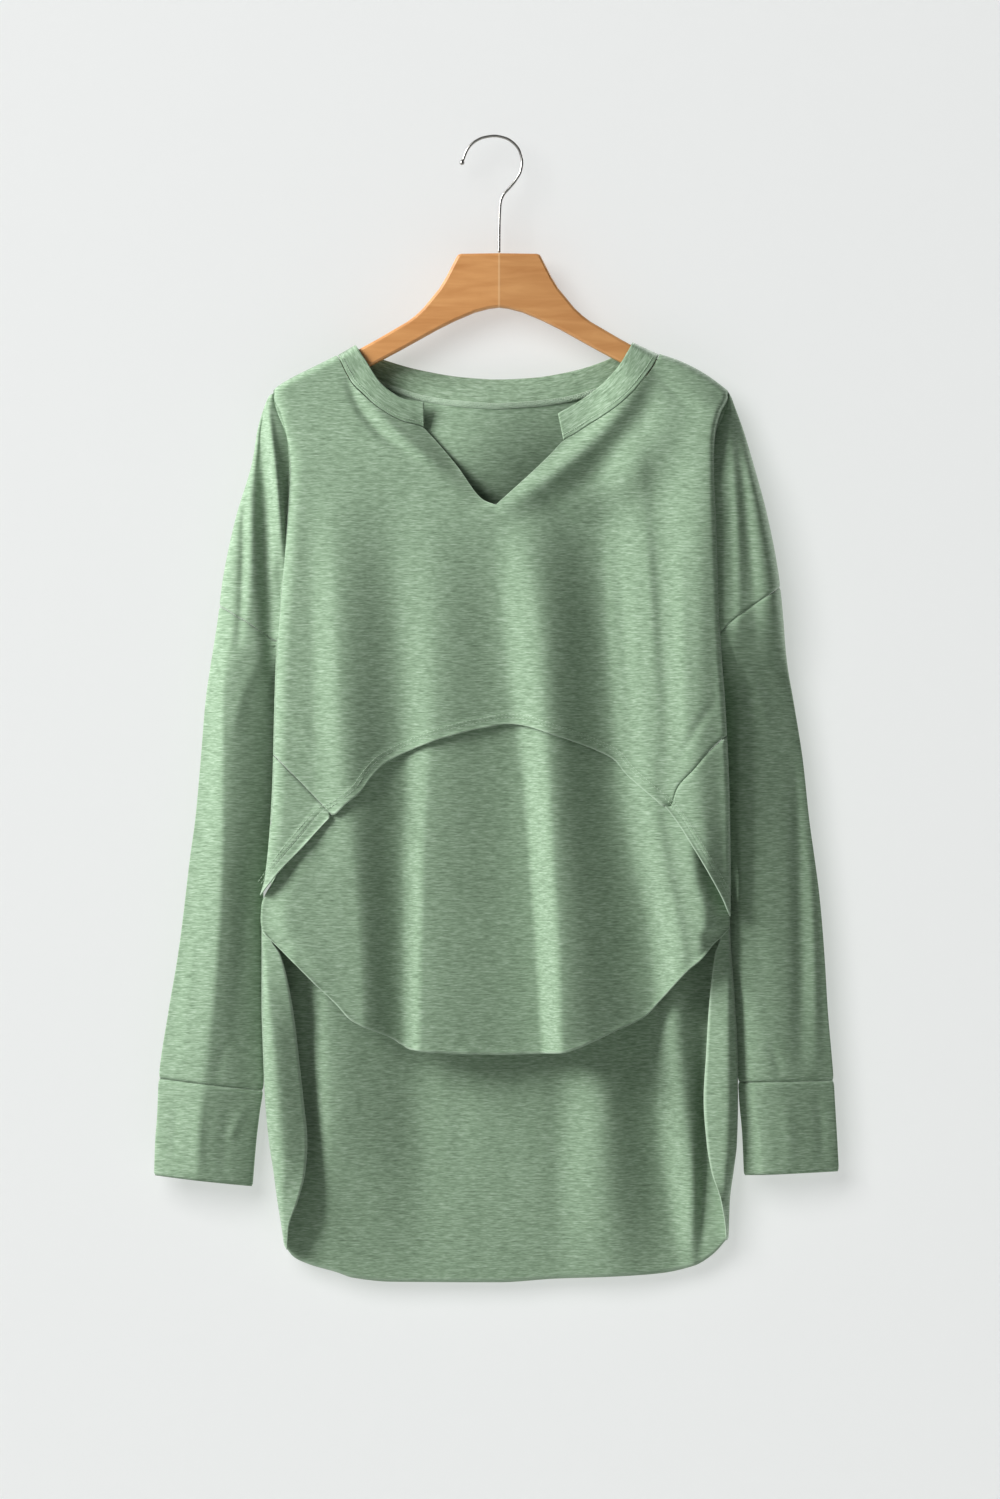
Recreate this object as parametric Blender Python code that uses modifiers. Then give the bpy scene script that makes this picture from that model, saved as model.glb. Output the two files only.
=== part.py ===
"""Long-sleeve top hanging from a flat wooden hanger with a wire hook.

Metres, +Z up, +Y away from the viewer. The origin is the inner crown of the hook, where it is held.
Outlines are given on a drawing sheet: x to the right, y down, one sheet unit is UNIT metres.
Depths are in millimetres, negative towards the viewer. Every piece of cloth is a grid of points that a
function places, one function for the torso and one for caps, sleeves and cuffs, made solid by Solidify.
"""

import math

import bmesh
import bpy
import numpy as np

UNIT = 0.00086
CROWN = (495.6, 135.9)
CENTRE = 496.0
WALL = 0.0016
CUFF_WALL = 0.0020
SEAM = 0.35
UNDERARM = 646.0
HANGER_HALF = 6.0
BEND = 6.5
BEHIND = 2.9
LEFT, RIGHT = -1, 1


def table(names, rows):
    """A short table as a dictionary of columns."""
    columns = np.array(rows, float).T
    return dict(zip(names.split(), columns))


def along(at, knots, values):
    """Value at a position on a smooth curve through the knots, without overshoot between them."""
    at = min(max(at, knots[0]), knots[-1])
    i = min(max(int(np.searchsorted(knots, at)) - 1, 0), len(knots) - 2)
    step = np.diff(knots)
    slope = np.diff(values) / step

    def tangent(k):
        if k == 0:
            return slope[0]
        if k == len(knots) - 1:
            return slope[-1]
        if slope[k - 1] * slope[k] <= 0:
            return 0.0
        return 2 * slope[k - 1] * slope[k] / (slope[k - 1] + slope[k])

    h = step[i]
    t = (at - knots[i]) / h
    return (
        (2 * t**3 - 3 * t**2 + 1) * values[i]
        + (t**3 - 2 * t**2 + t) * h * tangent(i)
        + (3 * t**2 - 2 * t**3) * values[i + 1]
        + (t**3 - t**2) * h * tangent(i + 1)
    )


def read(rows, name, at):
    return along(at, rows["y"], rows[name])


def smooth_step(t):
    t = min(max(t, 0.0), 1.0)
    return t * t * (3 - 2 * t)


def rounded(t):
    """Quarter circle: steep at 0, level from 1 on."""
    t = min(max(t, 0.0), 1.0)
    return math.sqrt(1 - (1 - t) ** 2)


# Torso sides: the front's folded edge, and how far it tucks back in under itself
EDGE = {
    LEFT: table("y edge tuck", [
        (345, 271, -1), (397, 273, -1), (412, 281, -4), (430, 286, 0), (446, 288.5, 8),
        (466, 289.5, 17), (520, 286.5, 20), (580, 282, 20), (646, 277, 20), (700, 275, 20),
        (780, 273, 19), (840, 269.5, 16), (880, 265, 11), (900, 259.5, 7), (915, 258, 6),
    ]),
    RIGHT: table("y edge tuck", [
        (345, 732, -1), (397, 728, -1), (412, 720.5, -4), (430, 715.5, 0), (446, 713.5, 8),
        (466, 713, 17), (520, 715, 20), (580, 717.5, 20), (646, 720, 20), (700, 724, 20),
        (780, 728, 19), (840, 729.5, 16), (880, 730, 11), (900, 730, 7), (930, 730, 6),
    ]),
}
# Depth of the front, of its folded edge, and of the fold's inner end
FRONT = table("y base edge inner", [
    (345, -8.6, -2.0, -1.8), (397, -9.2, -2.6, -2.2), (412, -10.2, -7.5, -4.0),
    (430, -12.0, -12.0, -7.5), (450, -14.5, -15.0, -10.0), (480, -17.0, -16.8, -11.5),
    (520, -18.5, -17.2, -11.5), (600, -19.0, -17.2, -11.5), (870, -19.5, -17.5, -11.5),
    (900, -18.5, -15.5, -11.0), (940, -18.5, -15.0, -11.0), (1055, -18.0, -15.0, -11.0),
])
# Limbs: silhouette, inner side below the underarm, and half depths to the front and to the back
LIMB = {
    LEFT: table("y outer inner depth front back", [
        (393, 267.5, 273, -0.8, 2.4, 2.4), (412, 263, 277, -4, 6, 6), (430, 259, 286, -8, 9, 9),
        (460, 252.5, 303, -10, 11, 11), (520, 235, 306, -11, 12.5, 13), (580, 222.5, 302, -11, 13.5, 14),
        (620, 217.5, 298, -11, 14, 14), (646, 213.5, 293.5, -9, 13.5, 14), (668, 210, 286, -5, 13, 13),
        (700, 205.5, 279, 0, 12.5, 13), (760, 200.5, 276, 1, 12.5, 13), (820, 195, 272.5, 1, 12.5, 13),
        (860, 189.5, 266, 1, 12, 12.5), (890, 186, 257, 1, 12, 12), (920, 182.5, 256, 1, 12, 12),
        (960, 177, 258, 1, 12, 12), (1010, 168.5, 259, 1, 12, 12), (1080, 158.5, 261, 1, 11.5, 12),
        (1116, 157, 258, 1, 11, 11), (1142, 155, 255, 1, 10.5, 11), (1190, 153.5, 251, 1, 10, 10),
    ]),
    RIGHT: table("y outer inner depth front back", [
        (393, 733, 728, -0.8, 2.4, 2.4), (412, 738, 724.5, -4, 6, 6), (430, 743.5, 715.5, -8, 9, 9),
        (460, 752.5, 698, -10, 11, 11), (520, 768.5, 695, -11, 12.5, 13), (580, 779.5, 697.5, -11, 13.5, 14),
        (620, 783.5, 699.5, -11, 14, 14), (646, 785.5, 703.5, -9, 13.5, 14), (668, 788, 711, -5, 13, 13),
        (700, 793.5, 720, 0, 12.5, 13), (760, 803, 725, 1, 12.5, 13), (820, 809.5, 727, 1, 12.5, 13),
        (860, 815, 729, 1, 12, 12.5), (890, 819, 733, 1, 12, 12), (920, 822, 737, 1, 12, 12),
        (960, 825, 739.5, 1, 12, 12), (1010, 828, 741, 1, 12, 12), (1082, 834, 742, 1, 11.5, 12),
        (1101, 835, 742, 1, 11, 11), (1134, 837, 743.5, 1, 10.5, 11), (1180, 839.5, 745.5, 1, 10, 10),
    ]),
}
# Back panel outside its flat part: first to fourth support, inward from the folded edge, with depths
WRAP = table("y in1 d1 in2 d2 in3 d3 in4 d4", [
    (345, 3, 2.4, 2, 2.2, 0.5, 2.0, -1, 1.9), (397, 2, 2.8, 1, 2.6, 0, 2.4, -1, 2.3),
    (412, 8, 8, 4, 7, 0, 6, -4, 4), (430, 12, 11, 7, 10, 3, 8.5, 0, 7.5),
    (450, 18, 13.5, 14, 12, 11, 9.5, 9, 8), (520, 24, 16, 19, 13.5, 17, 9.5, 16, 7.5),
    (590, 27, 16, 22, 13, 20, 7, 18, 1), (646, 30, 16, 25, 11, 23, 0, 20, -9.8),
    (780, 26, 15.5, 20, 11, 20, 0, 19, -9.8), (840, 20, 14, 13, 9, 14, -1, 15.5, -9.8),
    (880, 15, 12, 6, 5, 7, -4, 10, -9.8),
])
# The same supports where the sides of the tail turn forward, as sheet positions
TAIL = {
    LEFT: table("y x1 d1 x2 d2 x3 d3 x4 d4", [
        (915, 276, 11, 261.5, 1, 262.3, -8.5, 268, -12), (939, 278, 11, 261.5, 0, 263, -9.5, 270.4, -12.6),
        (955, 280, 11, 261.5, 0, 265, -10, 280.5, -12.9), (1004, 284, 11, 261.5, -1, 268, -12, 292, -14.6),
        (1054, 286, 11, 263, -1, 272, -12, 298, -14), (1100, 288, 11, 265, -1, 276, -12, 303, -14),
        (1143, 290, 11, 269, -1, 280, -11, 307, -13), (1173, 292, 11, 273.5, -1, 282, -10, 305, -12),
        (1200, 294, 11, 277, 0, 283, -8, 298, -10), (1229, 298, 11, 281.5, 2, 283.5, -4, 288, -6),
        (1262, 302, 11, 286, 6, 285, 2, 286, 0),
    ]),
    RIGHT: table("y x1 d1 x2 d2 x3 d3 x4 d4", [
        (915, 714, 11, 729.5, 1, 728.7, -8.5, 724.2, -12), (939, 713, 11, 730.5, 0, 728, -9.5, 720.4, -12.6),
        (955, 712, 11, 731.5, 0, 727, -10, 715, -12.9), (1004, 710, 11, 735, -1, 727, -12, 709.5, -14.6),
        (1054, 708, 11, 737.5, -1, 726, -12, 706.5, -14), (1100, 707, 11, 738, -1, 725, -12, 704, -14),
        (1143, 706, 11, 737, -1, 725, -11, 707, -13), (1173, 705, 11, 733.5, -1, 724, -10, 712, -12),
        (1200, 704, 11, 730, 0, 724, -8, 721, -10), (1229, 702, 11, 729, 2, 727, -4, 726, -6),
        (1262, 700, 11, 728, 6, 728.5, 2, 728, 0),
    ]),
}
# Top line of the shoulders along the hanger, and the neck and slit edge below it, by x
SHOULDER = {
    LEFT: table("x y", [
        (266, 395), (272, 391), (278, 385.5), (292, 377), (314, 366), (335, 355.5), (357, 344),
        (380, 332), (397, 323), (415, 312), (430, 297), (446, 275), (496, 255),
    ]),
    RIGHT: table("x y", [
        (496, 255), (553, 278), (567, 298), (583, 312), (600, 323), (620, 334), (641, 344),
        (659, 353), (692, 370), (720, 384.5), (729, 391), (735, 395),
    ]),
}
NECK = {
    LEFT: table("x y", [
        (337, 355), (340, 361), (345, 371), (352, 383), (364, 395), (375, 405), (390, 415),
        (404, 421.5), (421.5, 426), (428, 432), (455, 463), (484, 500), (496, 504.5),
    ]),
    RIGHT: table("x y", [
        (496, 504.5), (531, 473), (550, 454.5), (564, 440), (574, 434.5), (587, 426), (604, 415.5),
        (620, 404), (635, 390), (647, 375), (654, 365), (660, 354.5),
    ]),
}
BACK_NECK = {
    LEFT: table("x y", [(337, 355), (341, 360), (352, 369), (372, 380), (397, 391), (424, 399), (464, 405), (496, 407)]),
    RIGHT: table("x y", [(496, 407), (531, 404.5), (571, 399), (600, 390), (625, 380), (645, 368), (655, 360), (660, 354.5)]),
}
# Lower edges, by x: the bodice with its diagonal side seams, the arched hem, the lower hem, the tail
BODICE_END = table("x y", [
    (250, 742), (272, 754), (292, 773), (310, 791.5), (322, 804), (333, 815), (347, 803.5), (361, 791.5),
    (370, 779), (384, 764), (402, 754), (443, 738), (480, 728.6), (510, 724), (560, 737), (596, 750),
    (614, 759.5), (625, 773), (640, 787), (653, 798), (664, 806.5), (671, 805), (676, 789), (694, 768),
    (708, 751), (721, 739), (745, 722),
])
ARCH = table("x y", [
    (250, 908), (259, 897), (270, 883), (280, 871), (303, 847), (333, 814.8), (347, 804), (361, 792),
    (370, 779), (384, 764), (402, 754), (443, 738), (480, 728.6), (510, 724), (560, 737), (596, 750),
    (614, 759.5), (625, 773), (640, 787), (653, 798), (664, 806.5), (676, 821), (696, 853), (708, 873),
    (721, 896), (730, 916), (738, 930),
])
SIDE_TOP = {
    LEFT: table("x y", [(250, 743), (272, 755), (292, 774), (310, 792.5), (322, 805), (333, 816)]),
    RIGHT: table("x y", [(658, 803.2), (671, 806), (676, 790), (694, 769), (708, 752), (721, 740), (745, 723)]),
}
LOWER_HEM = table("x y", [
    (266, 933), (271.5, 939), (290, 959), (311, 980), (333, 1001), (354, 1022), (391, 1038), (411, 1050),
    (439, 1053), (500, 1055), (560, 1053), (588, 1044), (616, 1031), (644, 1018), (662, 999), (686, 972),
    (703, 957), (713, 944), (723, 936), (728, 930),
])
TAIL_HEM = table("x y", [
    (280, 1240), (293, 1259), (310, 1267), (335, 1274), (353, 1280), (393, 1284), (500, 1284.5),
    (554, 1281), (607, 1279), (661, 1275.5), (696, 1267.5), (714, 1256), (731, 1236),
])
DROP = {LEFT: (606.0, 640.0), RIGHT: (587.0, 628.0)}
CUFF_TOP = {LEFT: (1079.0, 1091.0), RIGHT: (1081.0, 1082.5)}
CUFF_END = {LEFT: (1176.0, 1187.0), RIGHT: (1172.0, 1176.0)}
# Long soft folds of the torso: where each starts and ends on the sheet, half width, height in mm
FRONT_FOLDS = table("x1 y1 x2 y2 wide high", [
    (348, 430, 322, 812, 24, 4.0), (440, 520, 420, 1050, 24, 7.0), (398, 690, 388, 1050, 17, -6.0),
    (508, 520, 514, 720, 22, 3.0), (560, 540, 588, 1050, 24, -5.5), (612, 470, 634, 1010, 24, 6.5),
    (686, 500, 684, 860, 19, 4.5), (304, 560, 292, 860, 14, 3.0), (655, 560, 660, 960, 14, -3.0),
    (520, 760, 520, 1050, 24, 3.0), (330, 860, 345, 1010, 18, 3.0),
])
NECK_FOLDS = table("x1 y1 x2 y2 wide high", [
    (338, 395, 446, 478, 9, 3.0), (322, 420, 420, 540, 10, -2.5), (648, 392, 545, 484, 10, 4.0),
    (664, 420, 560, 545, 11, -3.0), (690, 410, 650, 560, 12, 2.5),
])
BACK_FOLDS = table("x1 y1 x2 y2 wide high", [
    (350, 470, 338, 1010, 26, 4.5), (420, 560, 428, 1210, 26, 5.0), (500, 480, 494, 1080, 30, -4.0),
    (575, 560, 566, 1230, 26, 5.0), (646, 470, 664, 1210, 22, 4.0), (388, 900, 380, 1250, 20, -4.0),
    (615, 900, 622, 1250, 20, -4.0), (686, 980, 690, 1220, 16, 5.0),
])


def sheet_point(x, y, depth):
    """A point in metres from a place on the sheet and a depth in millimetres."""
    return ((x - CROWN[0]) * UNIT, depth * 0.001, (CROWN[1] - y) * UNIT)


def long_folds(x, y, rows):
    """Sum of long folds: each is a bell across its width that fades in and out along its length."""
    total = 0.0
    for x1, y1, x2, y2, wide, high in zip(*rows.values()):
        t = (y - y1) / (y2 - y1)
        middle = x1 + (x2 - x1) * t
        fade = smooth_step((t + 0.08) / 0.3) * smooth_step((1.15 - t) / 0.3)
        total += high * fade * math.exp(-(((x - middle) / wide) ** 2))
    return total


def slant_folds(x, y, rows):
    """Sum of slanting folds: each is a bell across a straight line, tapering to both of its ends."""
    total = 0.0
    for x1, y1, x2, y2, wide, high in zip(*rows.values()):
        length = math.hypot(x2 - x1, y2 - y1)
        ux, uy = (x2 - x1) / length, (y2 - y1) / length
        t = ((x - x1) * ux + (y - y1) * uy) / length
        off = (y - y1) * ux - (x - x1) * uy
        if 0 < t < 1:
            total += high * math.sin(math.pi * t) ** 0.7 * math.exp(-((off / wide) ** 2))
    return total


def over_hanger(side, x, y, line=SHOULDER):
    """Share of full depth where the cloth bends over the hanger: 0 on the shoulder line, 1 below it."""
    below = (y - along(x, line[side]["x"], line[side]["y"])) * UNIT * 1000
    return max(rounded(below / BEND), 0.055)


def torso_x(side, a, y):
    edge = read(EDGE[side], "edge", y)
    return CENTRE + (edge - CENTRE) * a


FOLD_PATH = table("y x d", [
    (0, 0, 0), (0.1, -0.01, 0.3), (0.3, 0.2, 0.6), (0.7, 0.8, 0.66), (0.88, 0.96, 0.74), (1, 1, 1),
])


def front_place(side, a, y):
    """Front of the torso: a is 0 at the centre, 1 at the folded edge, 2 at the inner end of the tuck."""
    edge_depth = read(FRONT, "edge", y)
    if a <= 1:
        x = torso_x(side, a, y)
        depth = read(FRONT, "base", y)
        lower = smooth_step((y - 405) / 55)
        fade = 1 - (1 - smooth_step((1 - a) / 0.14)) ** 2
        fade += (rounded((1 - a) / 0.06) - fade) * (1 - lower)
        fold = long_folds(x, y, FRONT_FOLDS) + slant_folds(x, y, NECK_FOLDS)
        depth = edge_depth + (depth - edge_depth) * fade - fold * smooth_step((1 - a) / 0.10)
        return x, y, depth * over_hanger(side, x, y)
    x, tuck = read(EDGE[side], "edge", y), read(EDGE[side], "tuck", y)
    inner = read(FRONT, "inner", y)
    x -= side * tuck * along(a - 1, FOLD_PATH["y"], FOLD_PATH["x"])
    depth = edge_depth + (inner - edge_depth) * along(a - 1, FOLD_PATH["y"], FOLD_PATH["d"])
    return x, y, depth


def wrap_support(side, k, y):
    """Place and depth of one support of the back panel's side, k from 1 to 4."""
    if y >= 915:
        return read(TAIL[side], f"x{k}", y), read(TAIL[side], f"d{k}", y)
    low = min(y, 880)
    x = read(EDGE[side], "edge", low) - side * read(WRAP, f"in{k}", low)
    depth = read(WRAP, f"d{k}", low)
    if y > 880:
        t = smooth_step((y - 880) / 35)
        x += (TAIL[side][f"x{k}"][0] - x) * t
        depth += (TAIL[side][f"d{k}"][0] - depth) * t
    return x, depth


def back_place(side, a, y):
    """Back panel: a is 0 at the centre, 1 where the side starts to turn, 2 at its free or sewn edge."""
    x1, d1 = wrap_support(side, 1, y)
    if a <= 1:
        x = CENTRE + (x1 - CENTRE) * a
        base = 9.6 + 5.4 * smooth_step((y - 395) / 130)
        lower = smooth_step((y - 405) / 80)
        fade = smooth_step((1 - a) / 0.3)
        fade += (rounded((1 - a) / 0.06) - fade) * (1 - lower)
        fold = long_folds(x, y, BACK_FOLDS) * smooth_step((1 - a) / 0.12)
        depth = d1 + (base - d1) * fade + fold * smooth_step((y - 440) / 80)
        return x, y, depth * over_hanger(side, x, y)
    knots = np.array([0.0, 0.33, 0.67, 1.0])
    supports = [wrap_support(side, k, y) for k in (1, 2, 3, 4)]
    x = along(a - 1, knots, np.array([s[0] for s in supports]))
    depth = along(a - 1, knots, np.array([s[1] for s in supports]))
    return x, y, depth * over_hanger(side, x, y)


def limb_place(side, face, c, y):
    """Caps, sleeves and cuffs: c is 0 at the inner side and 1 at the silhouette, face -1 front, 1 back."""
    rows = LIMB[side]
    outer = read(rows, "outer", y)
    if y > UNDERARM + 0.2:
        inner, inner_depth = read(rows, "inner", y), read(rows, "depth", y)
        gap = 0.0
    else:
        inner, _, inner_depth = (front_place if face < 0 else back_place)(side, 2, y)
        gap = 0.9 - 0.6 * smooth_step((y - 405) / 30)
    across = 2 * c - 1
    x = inner + (outer - inner) * c
    depth = face * read(rows, "front" if face < 0 else "back", y) * math.sqrt(max(1 - abs(across) ** 2.2, 0))
    if face > 0:
        wedge = smooth_step((y - 560) / 40) * smooth_step((700 - y) / 40)
        depth *= 1 - wedge * (1 - smooth_step(c / 0.25))
        depth += inner_depth * (1 - c) ** 3
    else:
        shallow = smooth_step((y - 430) / 30) * smooth_step((730 - y) / 50)
        depth *= 1 - 0.45 * shallow * (1 - smooth_step(c / 0.2))
        depth += inner_depth * (1 - math.sqrt(c)) ** 2
    depth += face * gap * smooth_step((c - 0.7) / 0.3)
    edge = read(EDGE[side], "edge", y)
    if face < 0 and y < UNDERARM + 60:
        trench = 3.5 * smooth_step((y - 415) / 50) * smooth_step((UNDERARM + 60 - y) / 60)
        depth += trench * math.exp(-(((x - edge) / 8) ** 2)) * smooth_step(c / 0.08)
    return x, y, depth


def row_of(find, start):
    """Height at which a column meets a line that is given by x, found by repeated substitution."""
    y = start
    for _ in range(30):
        y = 0.5 * y + 0.5 * find(y)
    return y


CAP_TOP_IN, CAP_TOP_OUT = 393.0, 397.0


def front_top(side, a):
    """Upper edge of a column of the front: slit and neck, then shoulder, then the tip."""
    if a > 1:
        return 391.6 + (CAP_TOP_IN - 391.6) * (a - 1)
    neck, line = NECK[side], SHOULDER[side]

    def find(y):
        x = torso_x(side, a, y)
        inside = neck["x"][0] <= x <= neck["x"][-1]
        rows = neck if inside else line
        return along(x, rows["x"], rows["y"]) + SEAM * inside

    return row_of(find, 420 if a < 0.72 else 385)


def back_top(side, a):
    if a > 1:
        return 391.6 + (CAP_TOP_IN - 391.6) * (a - 1)
    neck, line = BACK_NECK[side], SHOULDER[side]

    def find(y):
        x = back_place(side, a, y)[0]
        inside = neck["x"][0] <= x <= neck["x"][-1]
        rows = neck if inside else line
        return along(x, rows["x"], rows["y"]) + SEAM * inside

    return row_of(find, 400 if a < 0.72 else 385)


def bottom_on(rows, place, side, a, start):
    """Lower edge of a column, on a line that is given by x."""
    return row_of(lambda y: along(place(side, a, y)[0], rows["x"], rows["y"]), start)


def cloth(name, patches, wall, material):
    """One piece of cloth: grids whose points a function places, sewn where they coincide, made solid."""
    mesh = bpy.data.meshes.new(name)
    bm = bmesh.new()
    for columns, rows, place in patches:
        made = bmesh.ops.create_grid(bm, x_segments=columns - 1, y_segments=rows - 1, size=1.0)
        for vertex in made["verts"]:
            i = round((vertex.co.x + 1) / 2 * (columns - 1))
            j = round((vertex.co.y + 1) / 2 * (rows - 1))
            vertex.co = sheet_point(*place(i, j))
    bmesh.ops.remove_doubles(bm, verts=bm.verts, dist=0.00002)
    bmesh.ops.recalc_face_normals(bm, faces=bm.faces)
    for face in bm.faces:
        face.smooth = True
    bm.to_mesh(mesh)
    bm.free()
    piece = bpy.data.objects.new(name, mesh)
    solid = piece.modifiers.new("wall", "SOLIDIFY")
    solid.thickness = wall
    solid.offset = 0.0
    solid.use_even_offset = True
    solid.use_quality_normals = True
    mesh.materials.append(material)
    return piece


UPPER = (0, 0.001, 0.006, 0.015, 0.032, 0.065, 0.115, 0.18, 0.28, 0.41, 0.56, 0.72, 0.87, 1)
TUCKED = (1.1, 1.3, 1.7, 1.88, 2.0)
TURNED = (1.14, 1.3, 1.46, 1.62, 1.8, 2.0)
ROUND = (0, 0.04, 0.12, 0.22, 0.34, 0.47, 0.6, 0.72, 0.83, 0.92, 0.98, 1)
FRONT_COLUMNS = {
    LEFT: (0, 0.085, 0.17, 0.26, 0.345, 0.42, 0.49, 0.555, 0.61, 0.65, 0.685, 0.698, 0.7067, 0.7254,
           0.77, 0.82, 0.87, 0.92, 0.955, 0.985, 1.0),
    RIGHT: (0, 0.08, 0.16, 0.24, 0.312, 0.38, 0.45, 0.52, 0.58, 0.63, 0.67, 0.686, 0.698, 0.755,
            0.8, 0.86, 0.91, 0.955, 0.985, 1.0),
}
BACK_COLUMNS = {
    LEFT: (0, 0.09, 0.18, 0.27, 0.36, 0.45, 0.54, 0.62, 0.67, 0.699, 0.7162, 0.77, 0.83, 0.89, 0.95, 0.985, 1.0),
    RIGHT: (0, 0.09, 0.18, 0.27, 0.36, 0.45, 0.53, 0.61, 0.66, 0.689, 0.7039, 0.77, 0.83, 0.89, 0.95, 0.985, 1.0),
}


def two_part_rows(top, middle, bottom, upper, lower):
    """Heights of a column: shares of the way to the underarm, then equal steps below it."""
    first = [top + (middle - top) * s for s in upper]
    return first + [middle + (bottom - middle) * (k + 1) / lower for k in range(lower)]


def torso_patch(side, columns, place, top, bottom, lower):
    """Grid of one half of a torso piece, from the centre to its side."""
    points = []
    for a in columns:
        heights = two_part_rows(top(side, a), UNDERARM, bottom(side, a), UPPER, lower)
        points.append([place(side, a, y) for y in heights])
    return len(columns), len(points[0]), lambda i, j: points[i][j]


def cap_patch(side, face):
    """Grid of a drop-shoulder cap, from the torso's fold to the silhouette."""
    points = []
    for c in ROUND:
        top = CAP_TOP_IN + (CAP_TOP_OUT - CAP_TOP_IN) * c
        points.append([
            limb_place(side, face, c, top + (drop_line(side, c) - top) * s) for s in UPPER
        ])
    return len(ROUND), len(UPPER), lambda i, j: points[i][j]


def drop_line(side, c):
    """Height of the drop-shoulder seam: lowest at the underarm, a soft curve up to the silhouette."""
    outer, fold = DROP[side]
    if c < 0.3:
        return UNDERARM + (fold - UNDERARM) * c / 0.3
    return fold + (outer - fold) * ((c - 0.3) / 0.7) ** 0.85


def tube_patches(side, top, bottom, rows, grow=0.0):
    """Grids of the front and back of a sleeve or cuff, which meet along both sides."""
    def grid(face):
        points = []
        for c in ROUND:
            start, end = top(c), bottom(c)
            column = []
            for k in range(rows):
                x, y, depth = limb_place(side, face, c, start + (end - start) * k / (rows - 1))
                column.append((x - side * grow * math.cos(math.pi * c), y, depth + face * grow * math.sin(math.pi * c)))
            points.append(column)
        return len(ROUND), rows, lambda i, j: points[i][j]

    return [grid(-1), grid(1)]


def lapped_place(side, a, y):
    """Lower panel: as the front, but just behind it, out to the side seam below the bodice."""
    side_x = along(y, LOWER_SIDE[side]["y"], LOWER_SIDE[side]["x"])
    x = CENTRE + (side_x - CENTRE) * a
    share = (x - CENTRE) / (read(EDGE[side], "edge", y) - CENTRE)
    _, _, depth = front_place(side, min(share, 0.97), y)
    side_depth = along(y, LOWER_SIDE[side]["y"], LOWER_SIDE[side]["d"])
    fade = smooth_step((1 - a) / 0.12)
    return x, y, side_depth + (depth + BEHIND - side_depth) * fade


LOWER_SIDE = {
    LEFT: table("y x d", [(860, 285, -16.3), (885, 280, -16.2), (905, 274, -15.7), (920, 271.6, -15), (939, 273.6, -15)]),
    RIGHT: table("y x d", [(860, 714.5, -16.3), (885, 715.6, -16.2), (905, 719.8, -15.7), (920, 720.6, -15), (939, 717.6, -15)]),
}


def lower_patch(side):
    columns = [k / 14 for k in range(15)]
    points = []
    for a in columns:
        top = row_of(lambda y: along(lapped_place(side, a, y)[0], ARCH["x"], ARCH["y"]) - 14, 850)
        bottom = row_of(lambda y: along(lapped_place(side, a, y)[0], LOWER_HEM["x"], LOWER_HEM["y"]), 1000)
        points.append([lapped_place(side, a, top + (bottom - top) * k / 9) for k in range(10)])
    return len(columns), 10, lambda i, j: points[i][j]


def side_patch(side):
    """Grid of a side piece, from its blunt front end to the inner end of the tuck."""
    first = {LEFT: 0.739, RIGHT: 0.715}[side]
    columns = [first] + [a for a in FRONT_COLUMNS[side] if a > first + 0.01] + list(TUCKED[:2])
    rows = SIDE_TOP[side]
    points = []
    for a in columns:
        top = row_of(lambda y: along(front_place(side, a, y)[0], rows["x"], rows["y"]), 780) + 0.2
        bottom = row_of(lambda y: along(front_place(side, a, y)[0], ARCH["x"], ARCH["y"]), 850)
        points.append([front_place(side, a, top + (bottom - top) * k / 7) for k in range(8)])
    return len(columns), 8, lambda i, j: points[i][j]


# Free edge of the neckband, as sheet places and depths, station by station from the front to the back
BAND_FRONT = {
    LEFT: [(424, 402, -15.5), (404, 398.5, -14.5), (392, 392, -13.5), (381, 383, -12.5), (373, 372, -11.5),
           (367, 362, -10.5), (361, 353, -9.4), (357.5, 347.5, -7.6)],
    RIGHT: [(558, 413, -15.5), (578, 401.5, -14.5), (592, 392, -13.5), (605, 381, -12.5), (615, 370.5, -11.5),
            (622, 361, -10.5), (627.5, 351.5, -9.4), (631.5, 344.5, -7.6)],
}
BAND_BACK = table("seam x y d", [
    (337, 355.5, 344.0, 0), (340.5, 358, 347.5, 7.6), (347, 366, 352, 9.6), (368, 384, 358.5, 10.6),
    (410, 419, 368.5, 11.5), (458, 464, 376, 12.2), (498, 498, 378, 12.4), (536, 531, 376.5, 12.2),
    (580, 571, 370, 11.5), (622, 607, 358.5, 10.6), (646, 622, 350.5, 9.6), (656, 630.5, 344.5, 7.6),
    (660, 633, 341.5, 0),
])


def band_stations():
    """Seam point and free point of the neckband at each station, from the left front to the right front."""
    def front(side):
        found = []
        for a, free in zip(FRONT_COLUMNS[side][4:], BAND_FRONT[side]):
            y = front_top(side, a)
            x, _, depth = front_place(side, a, y)
            found.append(((x - side * 0.6, y - 2 * SEAM, depth), free))
        return found

    def back(side):
        found = []
        for a in BACK_COLUMNS[side][:11]:
            y = back_top(side, a)
            x, _, depth = back_place(side, a, y)
            if a > 0.7:
                depth = 0.0
            elif a > 0.68:
                depth = 8.4
            free = tuple(along(x, BAND_BACK["seam"], BAND_BACK[name]) for name in ("x", "y", "d"))
            found.append(((x - side * 0.6 * (a > 0.3), y - (2 + (a > 0.6)) * SEAM, depth), free))
        return found

    return front(LEFT) + back(LEFT)[:0:-1] + back(RIGHT) + front(RIGHT)[::-1]


def band_patch():
    stations = band_stations()
    shares = (0, 0.33, 0.67, 1)

    def place(i, j):
        seam, free = stations[i]
        t = shares[j]
        x, y, depth = (s + (f - s) * t for s, f in zip(seam, free))
        return x, y, depth

    return len(stations), len(shares), place


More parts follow.
